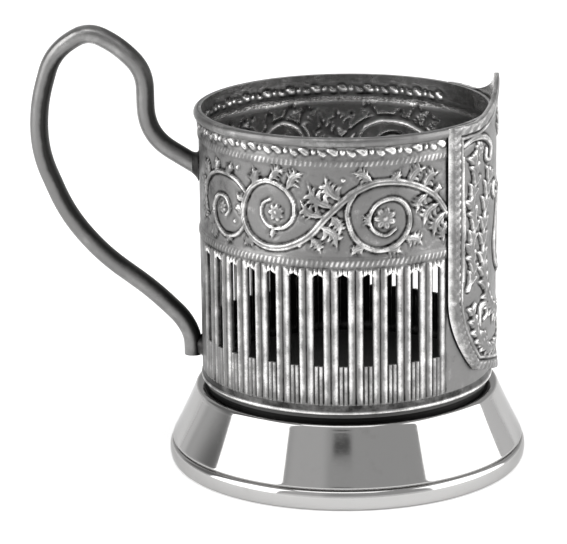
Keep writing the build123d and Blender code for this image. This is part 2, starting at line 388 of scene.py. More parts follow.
# %% [markdown]
# ## The chaser's strokes
# The scrolls on the sleeve are pressed from a die that was cut stroke by stroke. The same is done here:
# each stem, leaf and bead is a stroke with a width that swells and tapers, and it raises a field of
# heights. Working on a field instead of joining hundreds of small solids keeps the wall one clean mesh.

# %% Strokes on a height field
def half_round(value, middle, half):
    """Height of a half-round section, 1 in its middle and 0 outside it."""
    return np.sqrt(np.clip(1 - ((value - middle) / half) ** 2, 0, 1))


def hump(value, middle, width):
    """A soft hump, 1 in its middle."""
    return np.exp(-((value - middle) / width) ** 2)


class Field:
    """Heights over an unrolled stretch of wall. Across and up are in millimetres."""

    MARGIN = 1.0
    VEIN_WIDTH = 0.2
    DITCH_AWAY, DITCH_WIDTH = 0.25, 0.32
    LEAST_WIDTH, FULL_WIDTH, LEAST_RISE = 0.05, 0.3, 0.4
    ON_GROUND, UNTOUCHED = 0.05, -9.0

    def __init__(self, across, up, ground):
        self.across, self.up = across, up
        self.height = np.broadcast_to(np.asarray(ground, dtype=float), across.shape).copy()
        self.ground = self.height.copy()

    def near(self, line, margin):
        """Which points lie in the box round a line."""
        low, high = line.min(0) - margin, line.max(0) + margin
        return ((self.across > low[0]) & (self.across < high[0])
                & (self.up > low[1]) & (self.up < high[1]))

    def stroke(self, line, half_width, height, vein=0.0, outline=0.1):
        """Raise a rounded stroke along a line, with a cut outline beside it and a vein along it."""
        line = np.asarray(line, dtype=float)
        width = np.interp(np.linspace(0, 1, len(line)), np.linspace(0, 1, len(half_width)), half_width)
        mask = self.near(line, width.max() + self.MARGIN)
        points = np.stack([self.across[mask], self.up[mask]], axis=-1)
        if not len(points):
            return
        start, run = line[:-1], np.diff(line, axis=0)
        length2 = np.maximum((run ** 2).sum(1), 1e-9)
        along = np.einsum("pnk,nk->pn", points[:, None] - start[None], run) / length2
        along = np.clip(along, 0, 1)
        foot = start[None] + along[..., None] * run[None]
        distance = np.linalg.norm(points[:, None] - foot, axis=-1)
        wide = width[:-1][None] * (1 - along) + width[1:][None] * along
        best = np.argmin(distance - wide, axis=1)
        pick = np.arange(len(points)), best
        d, w = distance[pick], np.maximum(wide[pick], self.LEAST_WIDTH)
        rise = height * half_round(d, 0, w) * np.clip(w / self.FULL_WIDTH, self.LEAST_RISE, 1)
        rise -= vein * hump(d, 0, self.VEIN_WIDTH) * (rise > 0)
        ditch = outline * hump(d - w, self.DITCH_AWAY, self.DITCH_WIDTH) * (d > w)
        base, before = self.ground[mask], self.height[mask]
        on_ground = before < base + self.ON_GROUND
        raised = np.where(d < w, base + rise, self.UNTOUCHED)
        self.height[mask] = np.maximum(before - ditch * on_ground, raised)


print("strokes ready")

# %% Leaves, beads and flowers
LEAF_SWELL, LEAF_POINT, LEAF_VEIN = (0.25, 1.0, 0.9, 0.55), 0.08, 0.16
LOBES_FROM, LOBES_OVER, LOBE_FORWARD, LOBE_ASIDE = 0.12, 0.6, 0.62, 0.78
LOBE_BOW, LOBE_WIDTH, LOBE_RISE = 0.22, 0.62, 0.42
PETAL_FROM, PETAL_WIDTH, PETAL_RISE = 0.35, 0.30, 0.38
EYE_SIZE, EYE_RISE = 0.32, 0.48


def leaf(field, base, tip, bow, width, height=0.42):
    """A pointed leaf with a cut vein, bowed sideways."""
    base, tip = np.array(base, dtype=float), np.array(tip, dtype=float)
    side = np.array([-(tip - base)[1], (tip - base)[0]])
    line = smooth_line([base, (base + tip) / 2 + side * bow, tip], 8)
    field.stroke(line, [share * width for share in LEAF_SWELL] + [LEAF_POINT], height, vein=LEAF_VEIN)


def frond(field, base, tip, bow, width, lobes=3):
    """An acanthus leaf: a pointed blade with pairs of short lobes along it."""
    base, tip = np.array(base, dtype=float), np.array(tip, dtype=float)
    run = tip - base
    side = np.array([-run[1], run[0]])
    length = np.hypot(*run)
    for k in range(lobes):
        along = LOBES_FROM + LOBES_OVER * k / lobes
        root = base + run * along + side * bow * 4 * along * (1 - along)
        for turn in (-1, 1):
            way = LOBE_FORWARD * run / length + LOBE_ASIDE * turn * side / length
            reach = (0.5 - 0.08 * k) * length
            leaf(field, root, root + reach * way, -LOBE_BOW * turn, LOBE_WIDTH * width, LOBE_RISE)
    leaf(field, base, tip, bow, 0.85 * width, 0.52)


def bead(field, centre, radius, height=0.45):
    """A round bead."""
    centre = np.array(centre, dtype=float)
    field.stroke(np.array([centre, centre + (0.02, 0.0)]), [radius, radius], height)


def rosette(field, centre, radius, petals):
    """A small flower with a bead in its middle."""
    centre = np.array(centre, dtype=float)
    for turn in np.linspace(0, 2 * np.pi, petals, endpoint=False):
        way = np.array([np.cos(turn), np.sin(turn)])
        leaf(field, centre + way * PETAL_FROM * radius, centre + way * radius, 0.0, PETAL_WIDTH * radius,
             PETAL_RISE)
    bead(field, centre, EYE_SIZE * radius, EYE_RISE)


print("leaves, beads and flowers ready")


# %% Crests and grooves
def local_mean(height, spread=10):
    """Local average of a height grid, for telling crests from grooves."""
    soft = height.copy()
    for _ in range(spread):
        padded = np.pad(soft, 1, mode="edge")
        soft = (padded[:-2, 1:-1] + padded[2:, 1:-1] + padded[1:-1, :-2] + padded[1:-1, 2:]
                + 2 * soft) / 6
    return soft


def relief_value(height, gain=1.15, spread=10, bias=0.5):
    """Relief from 0 in a groove to 1 on a crest."""
    return np.clip(bias + gain * (height - local_mean(height, spread)), 0, 1)


print("relief runs from 0 in a groove to 1 on a crest")

# %% [markdown]
# ## The sleeve's grid
# The wall is one rolled sheet, so it is a grid of columns round the cup and rows up it, once for the
# outside and once for the inside. Columns fall exactly on the edges of the pierced slots and of the
# reeds, where they stand closer together, and rows fall on the slots' ends. That way the slots have
# clean edges although the whole wall is made of plain quads.

# %% Columns and rows
REED_STEPS = np.array([0.0, 0.07, 0.18, 0.34, 0.5, 0.66, 0.82, 0.93])
PANEL_COLUMNS, SEAM_COLUMNS = 46, 44
slot_angle = SLOT_WIDTH / ARC
side_angle = (KEY_PITCH - slot_angle) / 2
columns = [np.linspace(0, KEYS_START, PANEL_COLUMNS, endpoint=False)]
for key in range(KEY_COUNT):
    at = KEYS_START + key * KEY_PITCH
    for reed_width in (side_angle, slot_angle, side_angle):
        columns.append(at + REED_STEPS * reed_width)
        at += reed_width
columns.append(np.linspace(KEYS_END, 180 - SEAM_HALF, SEAM_COLUMNS))
one_side = np.concatenate(columns)


def rows_of(*stretches):
    """Row heights from stretches of (start, step); the last entry is the end."""
    parts = [np.arange(0, round((nxt[0] - low) / step)) * step + low
             for (low, step), nxt in zip(stretches, stretches[1:])]
    return np.concatenate(parts + [[stretches[-1][0]]])


FINE_HEM_TO = 25.9
SLOT_HEADS_FROM = 51.2
SEEN_INSIDE_FROM = 62.5
outer_rows = rows_of((LOW_EDGE, 0.25), (FINE_HEM_TO, 0.61), (SLOT_LOW, 1.6), (SLOT_HEADS_FROM, 0.25),
                     (SLOT_HIGH, 0.2507), (RIM,))
inner_rows = rows_of((LOW_EDGE, 1.45), (SLOT_LOW, 1.6), (SLOT_HEADS_FROM, 0.5),
                     (SLOT_HIGH, 0.8), (SEEN_INSIDE_FROM, 0.3), (RIM,))
for rows in (outer_rows, inner_rows):
    rows[np.argmin(abs(rows - SLOT_LOW))] = SLOT_LOW
    rows[np.argmin(abs(rows - SLOT_HIGH))] = SLOT_HIGH
print(len(one_side), "columns a side,", len(outer_rows), "outer rows,", len(inner_rows), "inner rows")

# %% [markdown]
# ## Bands, beads and piano keys
# From the rim down the sleeve carries a row of beads, a hatched line, the wide scroll band, another
# hatched line, the piano keys and a plain border over a narrow hem. The white keys are pairs of rounded
# reeds between the slots. Under each slot two narrow reeds fill the gap, and over it the sheet is
# pressed out in a small head. All of this is pressed in the one sheet, so it goes into one field of
# heights and isn't laid on as separate strips.

# %% Band helpers
HATCH_PITCH, NICK_SLANT, NICK_FLOOR = 1.15, 0.35, 0.35
angle_grid, up_grid = np.meshgrid(one_side, outer_rows, indexing="ij")
across_grid = angle_grid * ARC


def ramp(value, low, high):
    """Smooth step from 0 to 1."""
    t = np.clip((value - low) / (high - low), 0, 1)
    return t * t * (3 - 2 * t)


def band(low, high, soft=0.25):
    """1 between two heights of the sleeve, fading over a soft edge."""
    return ramp(up_grid, low - soft, low + soft) * (1 - ramp(up_grid, high - soft, high + soft))


def between(low, high):
    """Which points of the sleeve lie between two heights."""
    return (up_grid > low) & (up_grid < high)


def cord(low, high, height):
    """A rounded band of sheet pressed out between two heights."""
    return height * half_round(up_grid, (low + high) / 2, (high - low) / 2)


def hatch(low, high, height):
    """A low cord cut across by slanted nicks."""
    nick = 0.5 + 0.5 * np.cos(2 * np.pi * (across_grid + NICK_SLANT * (up_grid - low)) / HATCH_PITCH)
    return cord(low, high, height) * (NICK_FLOOR + (1 - NICK_FLOOR) * nick)


print("wall grid", up_grid.shape)

# %% Bands of the sleeve
SCROLL_LOW, SCROLL_HIGH, SCROLL_GROUND = 57.6, 78.4, -0.1
UPPER_HATCH, LOWER_HATCH = (78.6, 80.1, 0.2), (55.4, 57.1, 0.24)
HEM_TOP, HEM_RISE = 21.35, 0.28
in_scroll = between(SCROLL_LOW, SCROLL_HIGH)
wall = Field(across_grid, up_grid, SCROLL_GROUND * in_scroll * band(SCROLL_LOW, SCROLL_HIGH - 0.1, 0.3))
for raised in (hatch(*UPPER_HATCH), hatch(*LOWER_HATCH), cord(LOW_EDGE, HEM_TOP, HEM_RISE)):
    wall.height = np.where(raised > 0, np.maximum(wall.height, raised), wall.height)
print("bands pressed between %.2f and %.2f mm" % (wall.height.min(), wall.height.max()))

# %% Reeds of the piano keys
REEDS_LOW, REEDS_HIGH = 22.9, 54.9
REED_GROOVE, REED_RISE = -0.12, 0.48
HEAD_RISE = 0.16


def reeds():
    """Height of the rounded reeds for every column, and which columns have them."""
    place = np.zeros_like(one_side)
    inside = (one_side >= KEYS_START) & (one_side <= KEYS_END)
    at = np.mod(one_side - KEYS_START, KEY_PITCH)
    starts = np.array([0, side_angle, side_angle + slot_angle, KEY_PITCH])
    which = np.clip(np.searchsorted(starts, at + 1e-6) - 1, 0, 2)
    share = (at - starts[which]) / (starts[which + 1] - starts[which])
    share = np.where(which == 1, np.mod(2 * share, 1), share)
    bulge = 1 - np.abs(2 * share - 1) ** 2.6
    place[inside] = bulge[inside]
    return place, inside


reed_height, reed_columns = reeds()
key_band = between(REEDS_LOW - 0.3, REEDS_HIGH + 0.3) & reed_columns[:, None]
reed_relief = (REED_GROOVE + REED_RISE * reed_height[:, None]) * band(REEDS_LOW, REEDS_HIGH, 0.3)
wall.height = np.where(key_band, reed_relief, wall.height)
from_slot = np.abs(np.mod(one_side - KEYS_START, KEY_PITCH) - KEY_PITCH / 2) * ARC
over_slot = reed_columns * (1 - ramp(from_slot, 1.1, 1.7))
slot_heads = hump(outer_rows, SLOT_HIGH + 0.4, 0.3) * over_slot[:, None]
wall.height = wall.height + HEAD_RISE * slot_heads
print("reeds on", int(reed_columns.sum()), "columns")

# %% Bead row under the rim
BEADS_AT, BEAD_PITCH = 82.0, 6.6
BEAD_LEAVES = (((-2.3, -0.5), (0.2, 0.5), 0.12, 0.85, 0.42), ((0.2, -0.6), (2.2, 0.6), -0.12, 0.62, 0.34))
bead_places = np.arange(KEYS_START * ARC + 2.6, 175 * ARC, BEAD_PITCH)
for place in bead_places:
    centre = np.array([place, BEADS_AT])
    for base, tip, bow, width, height in BEAD_LEAVES:
        leaf(wall, centre + base, centre + tip, bow, width, height)
    bead(wall, centre + (3.1, 0.0), 0.6, 0.38)
print(len(bead_places), "beads from the panel to the handle")

# %% [markdown]
# ## The scroll band
# The pattern is the plain old running scroll of classical ornament: one stem that swings up and down,
# a spiral in each bay that ends in a small flower, and leaves where the stem divides. The points were
# placed over the unrolled band; across is counted from the middle of the front panel. A texture
# could repeat a leaf, but a drawn line can swell, taper and end in a flower.

# %% Stems and spirals
MAIN_STEM = [
    (24.6, 62.6), (27.0, 65.1), (31.5, 70.6), (38.1, 74.1), (45.2, 74.9), (50.0, 73.3),
    (53.4, 70.8), (57.5, 66.8), (61.5, 62.4), (66.9, 59.6), (72.2, 59.2), (76.4, 61.3),
    (78.5, 65.0), (78.2, 68.6), (75.8, 72.6), (71.6, 74.6), (67.3, 73.2), (64.9, 70.0),
    (65.1, 66.4), (67.5, 64.1), (70.9, 64.0), (73.0, 66.2), (72.8, 69.0), (70.7, 70.4),
]
RIGHT_SPIRAL = [
    (50.4, 73.0), (52.3, 69.6), (52.4, 66.0), (50.7, 62.0), (47.4, 59.6), (43.8, 59.2),
    (40.4, 60.7), (38.1, 64.0), (38.2, 67.8), (40.2, 70.3), (43.0, 70.9), (46.0, 69.6),
    (47.5, 66.6), (46.5, 63.7), (43.7, 62.5), (41.4, 63.9),
]
LEFT_SPIRAL = [
    (77.9, 63.4), (80.8, 60.6), (85.0, 59.8), (88.6, 61.9), (89.6, 65.6), (87.7, 68.6),
    (84.6, 68.6), (83.2, 66.2), (84.6, 64.4),
]
LEFT_BRANCH = [
    (77.2, 70.6), (80.8, 73.4), (85.6, 74.4), (90.4, 73.2), (93.8, 70.0), (94.6, 66.4),
]
STEMS = (
    (MAIN_STEM, [0.6, 0.85, 0.8, 0.62, 0.48, 0.32], 0.24),
    (RIGHT_SPIRAL, [0.5, 0.6, 0.54, 0.44, 0.3], 0.14),
    (LEFT_SPIRAL, [0.4, 0.55, 0.44, 0.3], 0.14),
    (LEFT_BRANCH, [0.3, 0.5, 0.4, 0.2], 0.14),
)
STEM_RISE, STEM_OUTLINE = 0.56, 0.16
FLOWERS = (((69.3, 67.4), 2.1), ((43.9, 66.5), 2.6), ((86.2, 66.0), 1.5))
BERRIES = ((59.8, 70.2), (35.6, 69.6), (36.6, 76.0), (53.4, 75.6), (63.6, 60.2), (80.2, 76.4), (81.4, 63.6))
print(len(STEMS), "stems placed")

# %% Leaves of the scroll band
LEAVES = [
    ((53.8, 70.9), (57.4, 76.9), -0.18, 0.95), ((55.6, 69.2), (61.6, 75.4), -0.2, 0.95),
    ((57.6, 67.2), (63.4, 71.2), -0.22, 0.85), ((56.4, 67.6), (54.4, 62.6), -0.2, 0.85),
    ((58.8, 65.0), (54.9, 59.4), -0.22, 0.95), ((61.2, 62.3), (58.6, 58.4), -0.15, 0.75),
    ((46.8, 75.0), (51.6, 77.3), 0.15, 0.75), ((42.6, 75.0), (40.2, 77.6), 0.15, 0.65),
    ((38.4, 74.2), (33.4, 77.2), -0.2, 0.9), ((34.6, 72.6), (29.6, 75.6), -0.22, 0.95),
    ((32.0, 70.6), (28.6, 71.8), -0.2, 0.75), ((33.2, 71.2), (36.2, 66.6), 0.22, 0.85),
    ((30.0, 68.6), (34.4, 63.4), 0.22, 0.95), ((28.2, 66.2), (31.6, 60.2), 0.2, 0.95),
    ((27.6, 64.0), (28.6, 58.8), 0.15, 0.85), ((39.6, 61.4), (34.4, 59.0), -0.2, 0.85),
    ((44.4, 59.2), (39.4, 57.9), -0.12, 0.6), ((48.4, 60.2), (51.8, 58.2), 0.16, 0.75),
    ((66.4, 73.0), (62.0, 77.2), -0.2, 0.85), ((71.0, 74.7), (66.4, 77.4), -0.18, 0.75),
    ((75.4, 73.0), (75.6, 77.4), 0.16, 0.85), ((77.8, 69.4), (80.9, 70.4), -0.2, 0.7),
    ((78.4, 65.8), (81.6, 66.6), 0.2, 0.75), ((74.6, 60.2), (78.6, 58.3), 0.18, 0.75),
    ((82.4, 60.0), (84.4, 57.9), 0.15, 0.6), ((89.2, 63.8), (93.2, 62.4), -0.2, 0.8),
    ((88.4, 62.0), (91.8, 58.6), -0.16, 0.85), ((84.4, 74.4), (82.4, 77.3), 0.15, 0.7),
    ((88.6, 73.8), (88.8, 77.4), 0.15, 0.75), ((91.8, 72.0), (95.2, 75.6), 0.15, 0.8),
    ((94.2, 68.6), (97.6, 71.0), 0.15, 0.75), ((94.6, 66.6), (96.2, 61.2), -0.15, 0.9),
    ((69.6, 63.9), (70.6, 60.9), 0.1, 0.5), ((47.2, 64.6), (49.4, 67.6), 0.15, 0.55),
]
for base, tip, bow, width in LEAVES:
    frond(wall, base, tip, bow, width)
for berry in BERRIES:
    bead(wall, berry, 0.5, 0.4)
for line, widths, vein in STEMS:
    wall.stroke(smooth_line(line), widths, STEM_RISE, vein=vein, outline=STEM_OUTLINE)
for flower, size in FLOWERS:
    rosette(wall, flower, size, 7)
print(len(LEAVES), "leaves,", len(BERRIES), "berries and", len(FLOWERS), "flowers")

# %% [markdown]
# ## Closing the sleeve
# The outside and the inside grids are joined along the rim, the lower edge, the two lips of the seam and
# the edges of every slot. Cutting the slots with a boolean would leave long thin faces beside them, so
# their quads are left out instead. Their tops are rounded by drawing the rows down beside each top
# corner. The inside carries the relief in reverse, weaker, because the sheet was pressed from there.

# %% Tones of the outside
BEADS_LOW = 80.6
KEY_TONE, BORDER_TONE = 0.33, 0.27
REED_SHINE, SLOT_HEAD_HIGHLIGHT, UNDER_SLOT_SHINE, KEY_FEET_DARKENING = 0.27, 0.4, 0.08, 0.16
SLOT_EDGE_HIGHLIGHT, SLOT_EDGE_AT, SLOT_EDGE_SOFT = 0.23, 1.55, 0.4
HANDLE_SIDE_DARKENING, DARKENING_FROM, DARKENING_TO = 0.15, 128.0, 160.0


def softened(relief, middle, share):
    """Relief with less contrast, about a new middle tone."""
    return middle + share * (relief - 0.5)


relief_out = relief_value(wall.height, 2.0, 14)
relief_out = np.where(up_grid > BEADS_LOW, softened(relief_out, middle=0.54, share=0.7), relief_out)
relief_out = np.where(in_scroll, softened(relief_out, middle=0.49, share=0.58), relief_out)
key_tone = KEY_TONE + UNDER_SLOT_SHINE * (from_slot < 1.0) + REED_SHINE * reed_height
# A painted highlight runs down both sides of every slot.
key_tone = key_tone + SLOT_EDGE_HIGHLIGHT * hump(from_slot, SLOT_EDGE_AT, SLOT_EDGE_SOFT)
# The keys get darker towards their lower ends.
key_feet = 1 - ramp(outer_rows, REEDS_LOW, REEDS_LOW + 3.2)
# Over each slot's head the tone is raised as a painted highlight.
key_tone = key_tone[:, None] - KEY_FEET_DARKENING * key_feet + SLOT_HEAD_HIGHLIGHT * slot_heads
relief_out = np.where(key_band & between(REEDS_LOW, REEDS_HIGH), key_tone, relief_out)
relief_out = np.where(between(HEM_TOP, REEDS_LOW), BORDER_TONE, relief_out)
# The sleeve gets darker towards the handle, between 128 and 160 degrees round the cup.
relief_out = relief_out - HANDLE_SIDE_DARKENING * ramp(angle_grid, DARKENING_FROM, DARKENING_TO)
print("outside relief from %.2f to %.2f" % (relief_out.min(), relief_out.max()))

# %% Tones of the inside
INSIDE_PAINTED_LINES = ((79.3, 0.5, 0.26), (80.6, 0.45, -0.25), (77.9, 0.5, -0.2))
DEEP_INSIDE_SHADE, INSIDE_MOUTH_LIGHT, PANEL_BACK_PAINTED_LIGHT = 0.1, 0.48, 0.15
soft_wall = local_mean(wall.height, 2)
press_through = np.stack([np.interp(inner_rows, outer_rows, column) for column in soft_wall])
# Above the scroll band the reverse of the raised rows is toned lighter, and the listed lines add a painted
# highlight flanked by painted shade along the bead and hatch rows.
inside_gain = np.where(inner_rows > SCROLL_HIGH, 2.4, -2.2)
painted_inside_lines = sum(tone * hump(inner_rows, at, width) for at, width, tone in INSIDE_PAINTED_LINES)
behind_panel = 1 - ramp(one_side, 15.0, 40.0)
# The inside is painted dark deep in the cup as painted shade, and lighter from 50 to 60 mm up towards the
# mouth as painted light.
inside_tone = DEEP_INSIDE_SHADE + INSIDE_MOUTH_LIGHT * ramp(inner_rows, 50.0, 60.0) + painted_inside_lines
# The inside wall behind the front panel is painted lighter, as painted light.
inside_tone = inside_tone + PANEL_BACK_PAINTED_LIGHT * behind_panel[:, None]
pressed = inside_gain * (press_through - local_mean(press_through, 8))
relief_in = np.clip(inside_tone + pressed, 0.05, 0.95)
print("inside relief from %.2f to %.2f" % (relief_in.min(), relief_in.max()))

# %% Sleeve points
SLOT_ARCH = 0.85
PRESSED_SHARE = 0.7


def arch_shift(angle, up):
    """How far a point near a slot's top is drawn down."""
    at = np.mod(angle - KEYS_START, KEY_PITCH) - KEY_PITCH / 2
    off = np.abs(at) * ARC / (SLOT_WIDTH / 2)
    drop = np.where(off < 1, 1 - half_round(off, 0, 1), hump(off, 1, 0.45))
    inside = (angle > KEYS_START) & (angle < KEYS_END)
    return SLOT_ARCH * drop * inside * hump(up, SLOT_HIGH, 1.1)


def both_sides(values):
    """Mirror an array of columns about the front panel's middle."""
    return np.concatenate([values[:0:-1], values])


def wrap(angle, rows, radius):
    """Points of a grid rolled round the cup, with the slots' tops rounded."""
    a, z = np.meshgrid(angle, rows, indexing="ij")
    z = z - arch_shift(np.abs(a), z)
    turn = np.radians(a)
    return np.stack([radius * np.cos(turn), radius * np.sin(turn), z], axis=-1).reshape(-1, 3)


full_angle = np.concatenate([-one_side[:0:-1], one_side])
pressed_in = PRESSED_SHARE * np.clip(press_through, -0.1, 0.5)
outer_points = wrap(full_angle, outer_rows, WALL_OUT + both_sides(wall.height))
inner_points = wrap(full_angle, inner_rows, BORE + both_sides(pressed_in))
print("wall from radius %.2f to %.2f" % (BORE, WALL_OUT + wall.height.max()))


# %% Slots in the sleeve
def slot_columns():
    """First and last column of every slot, counted round the whole wall."""
    shift = len(one_side) - 1
    found = []
    for key in range(KEY_COUNT):
        first = PANEL_COLUMNS + (3 * key + 1) * len(REED_STEPS)
        last = first + len(REED_STEPS)
        found += [(shift + first, shift + last), (shift - last, shift - first)]
    return found


wide, tall, deep = len(full_angle), len(outer_rows), len(inner_rows)
low_out, high_out = (int(np.argmin(abs(outer_rows - v))) for v in (SLOT_LOW, SLOT_HIGH))
low_in, high_in = (int(np.argmin(abs(inner_rows - v))) for v in (SLOT_LOW, SLOT_HIGH))
keep_out, keep_in = np.ones((wide - 1, tall - 1), bool), np.ones((wide - 1, deep - 1), bool)
for first, last in slot_columns():
    keep_out[first:last, low_out:high_out] = False
    keep_in[first:last, low_in:high_in] = False
print(len(slot_columns()), "slots pierced")

# %% Edges of the sheet
base_in = wide * tall


def out_at(column, row):
    """Number of a point of the outside."""
    return int(column * tall + row)


def in_at(column, row):
    """Number of a point of the inside."""
    return int(base_in + column * deep + row)


def ledge(start, end, row_out, row_in):
    """Level edge of the sheet from one column to the next, outside to inside."""
    return [out_at(start, row_out), out_at(end, row_out), in_at(end, row_in), in_at(start, row_in)]


def lip(column, rows_out, rows_in, rising):
    """One upright edge of the sheet, as a single flat face."""
    up_side = [out_at(column, r) for r in range(rows_out[0], rows_out[1] + 1)]
    down_side = [in_at(column, r) for r in range(rows_in[1], rows_in[0] - 1, -1)]
    face = up_side + down_side
    return face if rising else face[::-1]


print("the inside starts at point", base_in)

# %% Sleeve faces
sleeve_faces = grid_faces(wide, tall, 0, False, keep_out) + grid_faces(wide, deep, base_in, True, keep_in)
for column in range(wide - 1):
    sleeve_faces.append(ledge(column, column + 1, tall - 1, deep - 1))
    sleeve_faces.append(ledge(column + 1, column, 0, 0))
sleeve_faces.append(lip(0, (0, tall - 1), (0, deep - 1), True))
sleeve_faces.append(lip(wide - 1, (0, tall - 1), (0, deep - 1), False))
for first, last in slot_columns():
    sleeve_faces.append(lip(first, (low_out, high_out), (low_in, high_in), False))
    sleeve_faces.append(lip(last, (low_out, high_out), (low_in, high_in), True))
    for column in range(first, last):
        sleeve_faces.append(ledge(column, column + 1, low_out, low_in))
        sleeve_faces.append(ledge(column + 1, column, high_out, high_in))
print(len(sleeve_faces), "sleeve faces")


# %% Sleeve piece
def drop_unused(points, faces, values):
    """Leave out the points that no face uses, such as those inside the slots."""
    used = np.zeros(len(points), bool)
    for face in faces:
        used[face] = True
    number = np.cumsum(used) - 1
    return points[used], [[int(number[p]) for p in face] for face in faces], values[used]


sleeve_points = np.vstack([outer_points, inner_points])
sleeve_relief = np.concatenate([both_sides(relief_out).ravel(), both_sides(relief_in).ravel()])
sleeve_points, sleeve_faces, sleeve_relief = drop_unused(sleeve_points, sleeve_faces, sleeve_relief)
make_piece("sleeve_relief", sleeve_points, sleeve_faces, sleeve_silver, ["sleeve"],
           sleeve_relief, crease=62.0)

# %% [markdown]
# ## Rim band
# A plain half-round band runs round the mouth from one side of the front panel to the other. It is a
# profile carried round an arc and closed at both ends, the same way as the solid under it was made. Its
# highlight follows its roundness, so the half round is drawn with fifteen points.

# %% Rim band
RIM_BAND_HALF, RIM_BAND_SWELL = 1.05, 0.78
RIM_BAND_START, RIM_BAND_END = 46.4, 313.6


def round_points(profile, angle):
    """Points of a profile of (radius, height) at each angle round the cup's axis."""
    radius, height = np.asarray(profile, dtype=float).T
    x = np.cos(angle)[:, None] * radius
    y = np.sin(angle)[:, None] * radius
    return np.stack([x, y, np.broadcast_to(height, x.shape)], axis=-1).reshape(-1, 3)


rim_middle = RIM - RIM_BAND_HALF
rim_turn = np.radians(np.linspace(-90, 90, 15))
rim_bulge = np.stack([SOLDER_OUT + 0.1 + RIM_BAND_SWELL * np.cos(rim_turn),
                      rim_middle + RIM_BAND_HALF * np.sin(rim_turn)], -1)
rim_profile = np.vstack([(SOLDER_OUT, rim_middle - RIM_BAND_HALF), rim_bulge, (SOLDER_OUT, RIM)])
rim_angle = np.radians(np.linspace(RIM_BAND_START, RIM_BAND_END, 360))
rim_points = round_points(rim_profile, rim_angle)
rim_relief = 0.52 + 0.06 * np.sin(7 * np.arctan2(rim_points[:, 1], rim_points[:, 0]))
make_piece("rim_band_round", rim_points, loop_faces(len(rim_angle), len(rim_profile)), sleeve_silver,
           ["rim_band"], rim_relief, crease=70.0)

# %% [markdown]
# ## Front panel
# The panel is a shield of thicker sheet with a raised border and a crest above the rim. Each column of
# its grid runs from the shield's lower edge to its upper edge, so the outline stays exact. Its field
# carries ornament of a common kind: a lyre, for the music of the keys, between two sprays of laurel.

# %% Shield outline
PANEL_IN = 34.75
PANEL_PLATE = 0.7
PANEL_BORDER = 0.55
TOE_ANGLE = 30.7
HALF = PANEL_IN * np.sin(np.radians(PANEL_SIDE))
TOE = PANEL_IN * np.sin(np.radians(TOE_ANGLE))
TIP_Z, TOE_Z, WAIST_Z = LOW_EDGE + 1.0, LOW_EDGE + 5.8, LOW_EDGE + 24.6
CREST_HALF, CREST_TIP, CREST_Z = 17.5, 0.7, RIM + 7.4
CREST_FLANK = (6.4, RIM + 3.9)


def circle_through(a, b, c):
    """Centre and radius of the circle through three points."""
    (ax, ay), (bx, by), (cx, cy) = a, b, c
    m = np.array([[bx - ax, by - ay], [cx - ax, cy - ay]])
    rhs = 0.5 * np.array([bx ** 2 - ax ** 2 + by ** 2 - ay ** 2, cx ** 2 - ax ** 2 + cy ** 2 - ay ** 2])
    centre = np.linalg.solve(m, rhs)
    return centre, np.hypot(ax - centre[0], ay - centre[1])


flank_radius = ((HALF - TOE) ** 2 + (WAIST_Z - TOE_Z) ** 2) / (2 * (HALF - TOE))
crest_centre, crest_radius = circle_through((CREST_HALF, RIM), CREST_FLANK, (CREST_TIP, CREST_Z))


def shield_low(y):
    """Lower edge of the shield."""
    y = np.abs(y)
    line = TIP_Z + (TOE_Z - TIP_Z) * y / TOE
    flank = WAIST_Z - np.sqrt(np.clip(flank_radius ** 2 - (y - HALF + flank_radius) ** 2, 0, None))
    return np.where(y < TOE, line, flank)


def shield_high(y):
    """Upper edge of the shield with its crest."""
    y = np.abs(y)
    crest = crest_centre[1] - np.sqrt(np.clip(crest_radius ** 2 - (y - crest_centre[0]) ** 2, 0, None))
    crest = np.where(crest_centre[1] < CREST_Z, 2 * crest_centre[1] - crest, crest)
    return np.where(y < CREST_TIP, CREST_Z, np.where(y < CREST_HALF, crest, RIM))


print("crest circle", np.round(crest_centre, 1), round(float(crest_radius), 1))

# %% Panel field
PANEL_ROWS = 300
SIDE_STRIP = 0.6
PANEL_GROUND = -0.05
half_columns = np.concatenate([
    np.linspace(0, CREST_HALF, 76)[:-1],
    np.linspace(CREST_HALF, TOE, 3)[:-1],
    np.linspace(TOE, HALF - SIDE_STRIP, 34)[:-1],
    HALF - SIDE_STRIP * np.linspace(1, 0, 8) ** 2,
])
panel_y = np.concatenate([-half_columns[:0:-1], half_columns])
up_share = np.linspace(0, 1, PANEL_ROWS)
panel_low, panel_high = shield_low(panel_y), shield_high(panel_y)
panel_z = panel_low[:, None] + (panel_high - panel_low)[:, None] * up_share[None]
panel_s = np.broadcast_to((PANEL_IN * np.arcsin(panel_y / PANEL_IN))[:, None], panel_z.shape)
fine_y = np.linspace(-HALF, HALF, 400)
fine_s = PANEL_IN * np.arcsin(fine_y / PANEL_IN)
half_s = fine_s[-1]
outline = np.vstack([np.stack([fine_s, shield_low(fine_y)], -1),
                     np.stack([np.full(60, half_s), np.linspace(WAIST_Z, RIM, 60)], -1),
                     np.stack([fine_s[::-1], shield_high(fine_y)[::-1]], -1),
                     np.stack([np.full(60, -half_s), np.linspace(RIM, WAIST_Z, 60)], -1)])


def edge_distance(s, z):
    """Distance from points of the panel to its outline."""
    flat = np.stack([s.ravel(), z.ravel()], -1)
    best = np.full(len(flat), 1e9)
    for part in np.array_split(outline, 40):
        best = np.minimum(best, np.linalg.norm(flat[:, None] - part[None], axis=-1).min(1))
    return best.reshape(s.shape)


panel_edge = edge_distance(panel_s, panel_z)
shield = Field(panel_s, panel_z, PANEL_GROUND)
print("panel grid", panel_s.shape)

